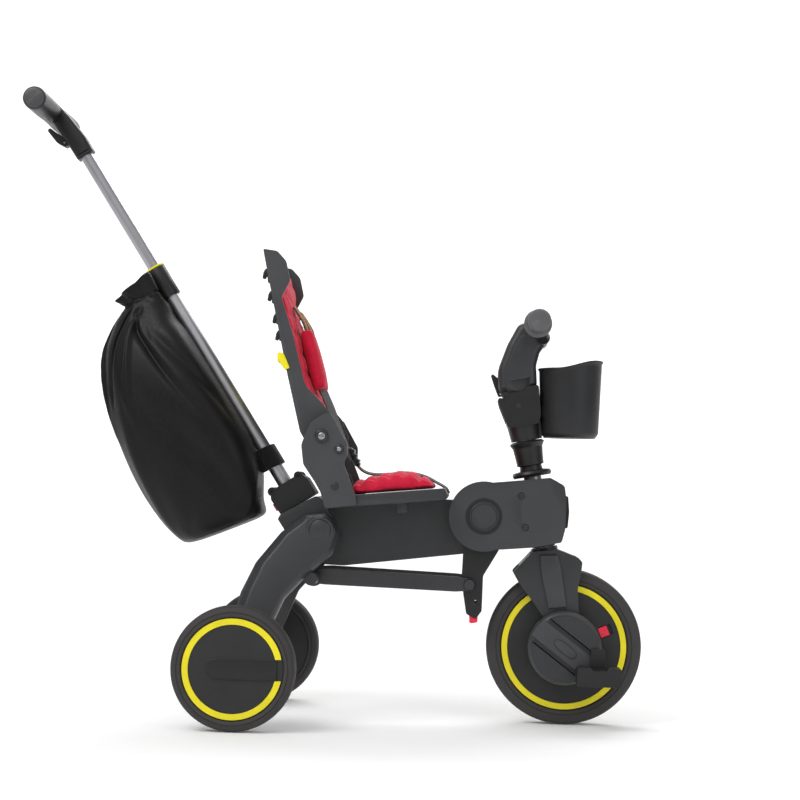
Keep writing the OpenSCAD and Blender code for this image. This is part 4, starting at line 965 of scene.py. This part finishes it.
def mouldCup():
    # A profile up the outside, over the lip and down the inside, turned; the lip climbs towards the front
    turn = np.linspace(0, 2 * pi, 120, endpoint=False)
    climb = np.clip((np.cos(turn) + 0.45) / 1.3, 0, 1)
    rim = cup["low"] + (cup["high"] - cup["low"]) * climb * climb * (3 - 2 * climb)
    r, w = cup["radius"], cup["wall"]
    shape = [(0.01, 0.0, 0), (r - 14, 0.0, 0), (r - 10, 0.002, 0), (r - 6, 0.045, 0), (r - 4.6, 0.075, 0),
             (r - 3.2, 0.4, 0), (r - 1.4, 0.8, 0), (r - 0.8, 0.93, 0), (r - 0.5, 0.965, 0),
             (r + 0.9, 0.975, 0), (r + 1.3, 0.99, 0), (r + 0.6, 1.0, 0), (r - w + 0.6, 1.0, 0),
             (r - w - 0.2, 0.985, 0), (r - w - 1.8, 0.8, 0), (r - w - 3.6, 0.4, 0), (r - w - 5, 0.09, 0),
             (r - w - 8, 0.03, 2), (r - w - 14, 0.021, 2), (0.01, 0.021, 2)]
    table = np.array(shape, float)
    height = cup["floor"] + table[:, 1, None] * (rim[None, :] - cup["floor"])
    grid = np.stack([cup["x"] + table[:, :1] * np.cos(turn), table[:, :1] * np.sin(turn), height], -1)
    piece = gridSurface("snackCup", grid, cupPlastic, bodyOf("cup"), wrapV=True, sharp=50)
    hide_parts("cup")


mouldCup()

# Push handle
pushBar = {"at": (-11.8, 700), "radius": 18.0, "half": 128.0, "neckHalf": 15.0,
           "neck": [(-14.5, 612, 2), (14.5, 612, 2), (15, 640, 20), (10, 680, 26), (3, 714, 6), (-22, 714, 6),
                    (-17, 676, 30), (-15, 640, 20)]}
barPlace = tube(pushBar["at"][0], 0.0, pushBar["at"][1])
barHalf, barRadius = pushBar["half"], pushBar["radius"]
barProfile = [(0.01, -barHalf), (barRadius - 5, -barHalf), (barRadius - 1.6, -barHalf + 0.9),
              (barRadius - 0.4, -barHalf + 2.4), (barRadius - 0.3, -barHalf + 4),
              (barRadius - 1.0, -barHalf + 4.3), (barRadius - 1.0, -barHalf + 4.9),
              (barRadius, -barHalf + 5.3), (barRadius, -60), (barRadius - 0.6, -30), (barRadius - 1, -22)]
barProfile = barProfile + [(radius, -place) for radius, place in barProfile[::-1]]
piece = turnedPart("pushBar", barProfile, barPlace, (0, 1, 0), blackPlastic, bodyOf("push_bar"),
                   count=96)
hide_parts("push_bar")
neckLine = onLean(tube, roundedOutline(pushBar["neck"], 160))
mouldedPlate("pushNeck", neckLine, softEdges(-pushBar["neckHalf"], pushBar["neckHalf"], 6.0, 6), blackPlastic,
             bodyOf("push_bar"), soft=12)
for side, tag in ((-1, "Right"), (1, "Left")):
    turnedPart("barCap" + tag, [(0.01, 0), (barRadius - 3, 0), (barRadius - 2.2, 0.5),
                                (barRadius - 3.4, 1.2), (barRadius - 7, 1.7), (0.01, 2.0)],
               barPlace + np.array([0, side * (barHalf - 1.2), 0]), (0, side, 0), slatePlastic,
               bodyOf("push_bar"))
collarProfile = [(11.6, 346.5), (14.6, 346.5), (15.4, 348), (15.4, 370), (15.8, 396.5), (15.2, 398),
                 (11.0, 398), (11.0, 352.5), (11.6, 352)]
collar = turnedPart("tubeCollar", collarProfile, tube(0, 0, 0), tubeUp, blackPlastic,
                    bodyOf("tube_collar"))
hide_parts("tube_collar")
turnedPart("collarRing", [(10.2, 398), (15.6, 398), (16.2, 398.7), (16.2, 400.2), (15.4, 401), (10.2, 401)],
           tube(0, 0, 0), tubeUp, lemonPlastic, bodyOf("tube_collar"))

# Black hooks along the back of the backrest that the cover's loops go over
for number, (x, z) in enumerate([(-106, 684), (-97.5, 650), (-89, 616), (-84, 590)]):
    for side, tag in ((-1, "Right"), (1, "Left")):
        line = roundedOutline([(x + 10, z + 8, 1), (x, z + 8, 1.5), (x - 3, z + 3, 1.5),
                               (x - 4.5, z - 7, 1.5), (x - 0.5, z - 8, 1), (x + 2, z - 4, 1),
                               (x + 11, z - 5, 1)], 60)
        levels = [(side * y, a) for y, a in softEdges(104, 113, 1.0, 3)]
        mouldedPlate("coverHook" + tag + str(number), line, levels, blackPlastic, bodyOf("backrest_shell"))


def outerFace(node):  # how far a node reaches to the side
    flat = np.zeros(len(frame["nodes"][node].data.vertices) * 3, np.float32)
    frame["nodes"][node].data.vertices.foreach_get("co", flat)
    return np.abs(flat.reshape(-1, 3)[:, 1]).max() / mm


hubRing = {"centre": (237, 321), "radius": 26.0, "breadth": 2.2, "rise": 0.7}
hubFace = outerFace("head_housing_right")
for side, tag, node in ((-1, "Right", "head_housing_right"), (1, "Left", "head_housing_left")):
    low, high = hubRing["radius"] - hubRing["breadth"], hubRing["radius"] + hubRing["breadth"]
    lip = hubFace + hubRing["rise"]
    turnedPart("hubRing" + tag, [(low, hubFace - 1.5), (low, lip - 0.5), (low + 0.5, lip), (high - 0.5, lip),
                                 (high, lip - 0.5), (high, hubFace - 1.5), (low, hubFace - 1.5)],
               (hubRing["centre"][0], 0, hubRing["centre"][1]), (0, side, 0), blackPlastic, bodyOf(node))
domes = {"spots": [(-11, 437, 5.6), (16, 418, 3.6)], "rise": 1.6}
boltFace = outerFace("backrest_bolts")
for side, tag in ((-1, "Right"), (1, "Left")):
    for number, (x, z, radius) in enumerate(domes["spots"]):
        angle = np.linspace(0, pi / 2, 8)
        bow = [(max(radius * np.cos(a), 0.01), boltFace - 0.3 + domes["rise"] * np.sin(a)) for a in angle]
        turnedPart("boltDome" + tag + str(number), [(0.01, boltFace - 1.5), (radius, boltFace - 1.5)] + bow,
                   (x, 0, z), (0, side, 0), pinSteel, bodyOf("backrest_bolts"), count=40)
lever = {"outline": [(-84, 561, 1.2), (-80.5, 564, 1.2), (-74, 562, 1.2), (-69, 552, 3), (-64, 540, 1.2),
                     (-71, 537, 1.2), (-77.5, 545, 3), (-82.5, 553, 2)], "reach": 121.0, "finger": 22.0}
leverLine = roundedOutline(lever["outline"], 110)
for side, tag in ((-1, "Right"), (1, "Left")):
    levels = [(side * y, a) for y, a in softEdges(lever["reach"] - lever["finger"], lever["reach"], 1.4)]
    piece = mouldedPlate("reclineLever" + tag, leverLine, levels, lemonPlastic, bodyOf("recline_button"),
                         soft=6)
    if side < 0:
        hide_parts("recline_button")
barLine = roundedOutline([(-84.5, 561, 1), (-82, 563.5, 1), (-79.5, 560, 1), (-81, 550, 1), (-84, 549, 1)],
                         60)
mouldedPlate("reclineBar", barLine, softEdges(-110, 110, 0.8), lemonPlastic, bodyOf("recline_button"))
wheelBar = {"outline": [(-36.2, -14.2, 14), (65.2, -14.2, 0.6), (65.2, 14.2, 0.6), (-36.2, 14.2, 14)],
            "centre": (-125.884, 92)}
for side, tag, node in ((-1, "Right", "rear_wheel_right"), (1, "Left", "rear_wheel_left")):
    line = roundedOutline(wheelBar["outline"], 160) + wheelBar["centre"]
    levels = [(side * y, a) for y, a in ((223.4, 0), (224.9, 0), (225.3, 0.3), (225.4, 0.9))]
    mouldedPlate("wheelBar" + tag, line, levels, blackPlastic, bodyOf(node))
print("handles and hooks moulded")



# Light, floor and camera
studio = {"worldGlow": 0.8, "keyPower": 34.0, "fillPower": 9.0, "rimPower": 26.0}
angle = np.linspace(0, pi / 2, 12)
sweep = np.concatenate([[[-1.6, 0.0]], np.stack([2.0 + 1.2 * np.sin(angle), 1.2 - 1.2 * np.cos(angle)], 1),
                        [[3.2, 4.0]]])  # floor, curve, wall
width = np.linspace(-5.0, 5.0, 3)
backdrop = np.stack([np.broadcast_to(width[None, :], (len(sweep), 3)),
                     np.broadcast_to(sweep[:, :1], (len(sweep), 3)),
                     np.broadcast_to(sweep[:, 1:], (len(sweep), 3))], -1)
backdrop[0, :, 1] = -4.5
paperFinish, paperTree, paperShader = newFinish("paper", 0.9)
paperPlace = addNode(paperTree, "TexCoord").outputs["Object"]
paperTone = addNode(paperTree, "TexNoise", {"Vector": paperPlace, "Scale": 1.5, "Detail": 2.0}).outputs["Fac"]
paperTree.links.new(blendColours(paperTree, paperTone, (0.93, 0.93, 0.93, 1), (0.95, 0.95, 0.95, 1)),
                    paperShader.inputs["Base Color"])
paperRise = addNode(paperTree, "SeparateXYZ", {0: paperPlace}).outputs["Z"]
paperShader.inputs["Emission Color"].default_value = (1, 1, 1, 1)
paperTree.links.new(spread(paperTree, paperRise, 0.06, 0.45, 0.0, 0.5),
                    paperShader.inputs["Emission Strength"])
paperOut = paperTree.nodes["Material Output"]  # seen from behind, the paper lets everything through
behind = addNode(paperTree, "NewGeometry").outputs["Backfacing"]
clearPaper = addNode(paperTree, "BsdfTransparent").outputs["BSDF"]
oneSided = addNode(paperTree, "MixShader", {0: behind, 1: paperShader.outputs["BSDF"], 2: clearPaper})
paperTree.links.new(oneSided.outputs["Shader"], paperOut.inputs["Surface"])
mesh = bpy.data.meshes.new("studioFloor")
rows, cols = backdrop.shape[:2]
i, j = np.arange(rows - 1)[:, None], np.arange(cols - 1)[None, :]
quads = np.stack([i * cols + j, i * cols + j + 1, (i + 1) * cols + j + 1, (i + 1) * cols + j],
                 -1).reshape(-1, 4)
mesh.from_pydata(backdrop.reshape(-1, 3).tolist(), [], quads.tolist())
mesh.shade_smooth()
mesh.materials.append(paperFinish)
studioFloor = bpy.data.objects.new("studioFloor", mesh)
bpy.context.scene.collection.objects.link(studioFloor)

world = bpy.data.worlds.new("studioWorld")
bpy.context.scene.world = world
world.use_nodes = True
sky = world.node_tree
skyPlace = addNode(sky, "TexCoord").outputs["Generated"]
skyParts = addNode(sky, "SeparateXYZ", {0: skyPlace})
skyRise = spread(sky, skyParts.outputs["Z"], 0.0, 1.0, -0.25, 0.85)
skySide = addNode(sky, "Math", {0: skyParts.outputs["X"], 1: skyParts.outputs["X"]},
                  operation="MULTIPLY").outputs[0]
skyFlag = spread(sky, skySide, 1.0, 0.0, 0.15, 0.75)  # darker to both ends of the object
skyShare = addNode(sky, "Math", {0: skyRise, 1: skyFlag}, operation="MULTIPLY").outputs[0]
sky.links.new(blendColours(sky, skyShare, (0.3, 0.3, 0.31, 1), (1, 1, 1, 1)),
              sky.nodes["Background"].inputs["Color"])
world.node_tree.nodes["Background"].inputs["Strength"].default_value = studio["worldGlow"]


def softLight(name, place, target, size, power):  # a soft box that points at its target
    lamp = bpy.data.lights.new(name, "AREA")
    lamp.shape = "RECTANGLE"
    lamp.size, lamp.size_y = size
    lamp.energy = power
    light = bpy.data.objects.new(name, lamp)
    bpy.context.scene.collection.objects.link(light)
    light.location = place
    aim = np.array(place, float) - np.array(target, float)
    light.rotation_euler = Vector(aim).to_track_quat("Z", "Y").to_euler()


softLight("keyLight", (-1.3, -1.5, 2.3), (0, 0, 0.4), (1.6, 1.2), studio["keyPower"])
softLight("fillLight", (1.9, -1.8, 1.2), (0.1, 0, 0.4), (1.2, 1.4), studio["fillPower"])
softLight("rimLight", (0.4, 1.6, 2.2), (0, 0, 0.4), (2.2, 0.8), studio["rimPower"])

shot = {"place": (211.5, -2884, 366), "lens": 82.1, "pitch": 2.67, "yaw": 2.2, "roll": 1.43}
forward = np.array([-np.sin(radians(shot["yaw"])) * np.cos(radians(shot["pitch"])),
                    np.cos(radians(shot["yaw"])) * np.cos(radians(shot["pitch"])),
                    np.sin(radians(shot["pitch"]))])
levelRight = unit(np.cross(forward, [0, 0, 1.0]))
upright = np.cross(levelRight, forward)
roll = radians(shot["roll"])
right = levelRight * np.cos(roll) + upright * np.sin(roll)
top = upright * np.cos(roll) - levelRight * np.sin(roll)
camera = bpy.data.objects.new("camera", bpy.data.cameras.new("camera"))
bpy.context.scene.collection.objects.link(camera)
camera.data.lens = shot["lens"]
camera.data.clip_start, camera.data.clip_end = 0.05, 30.0
turn = np.eye(4)
turn[:3, 0], turn[:3, 1], turn[:3, 2] = right, top, -forward
turn[:3, 3] = np.array(shot["place"]) * mm
camera.matrix_world = Matrix(turn.tolist())
bpy.context.scene.camera = camera
bpy.context.scene.view_settings.view_transform = "Standard"
print("studio set")
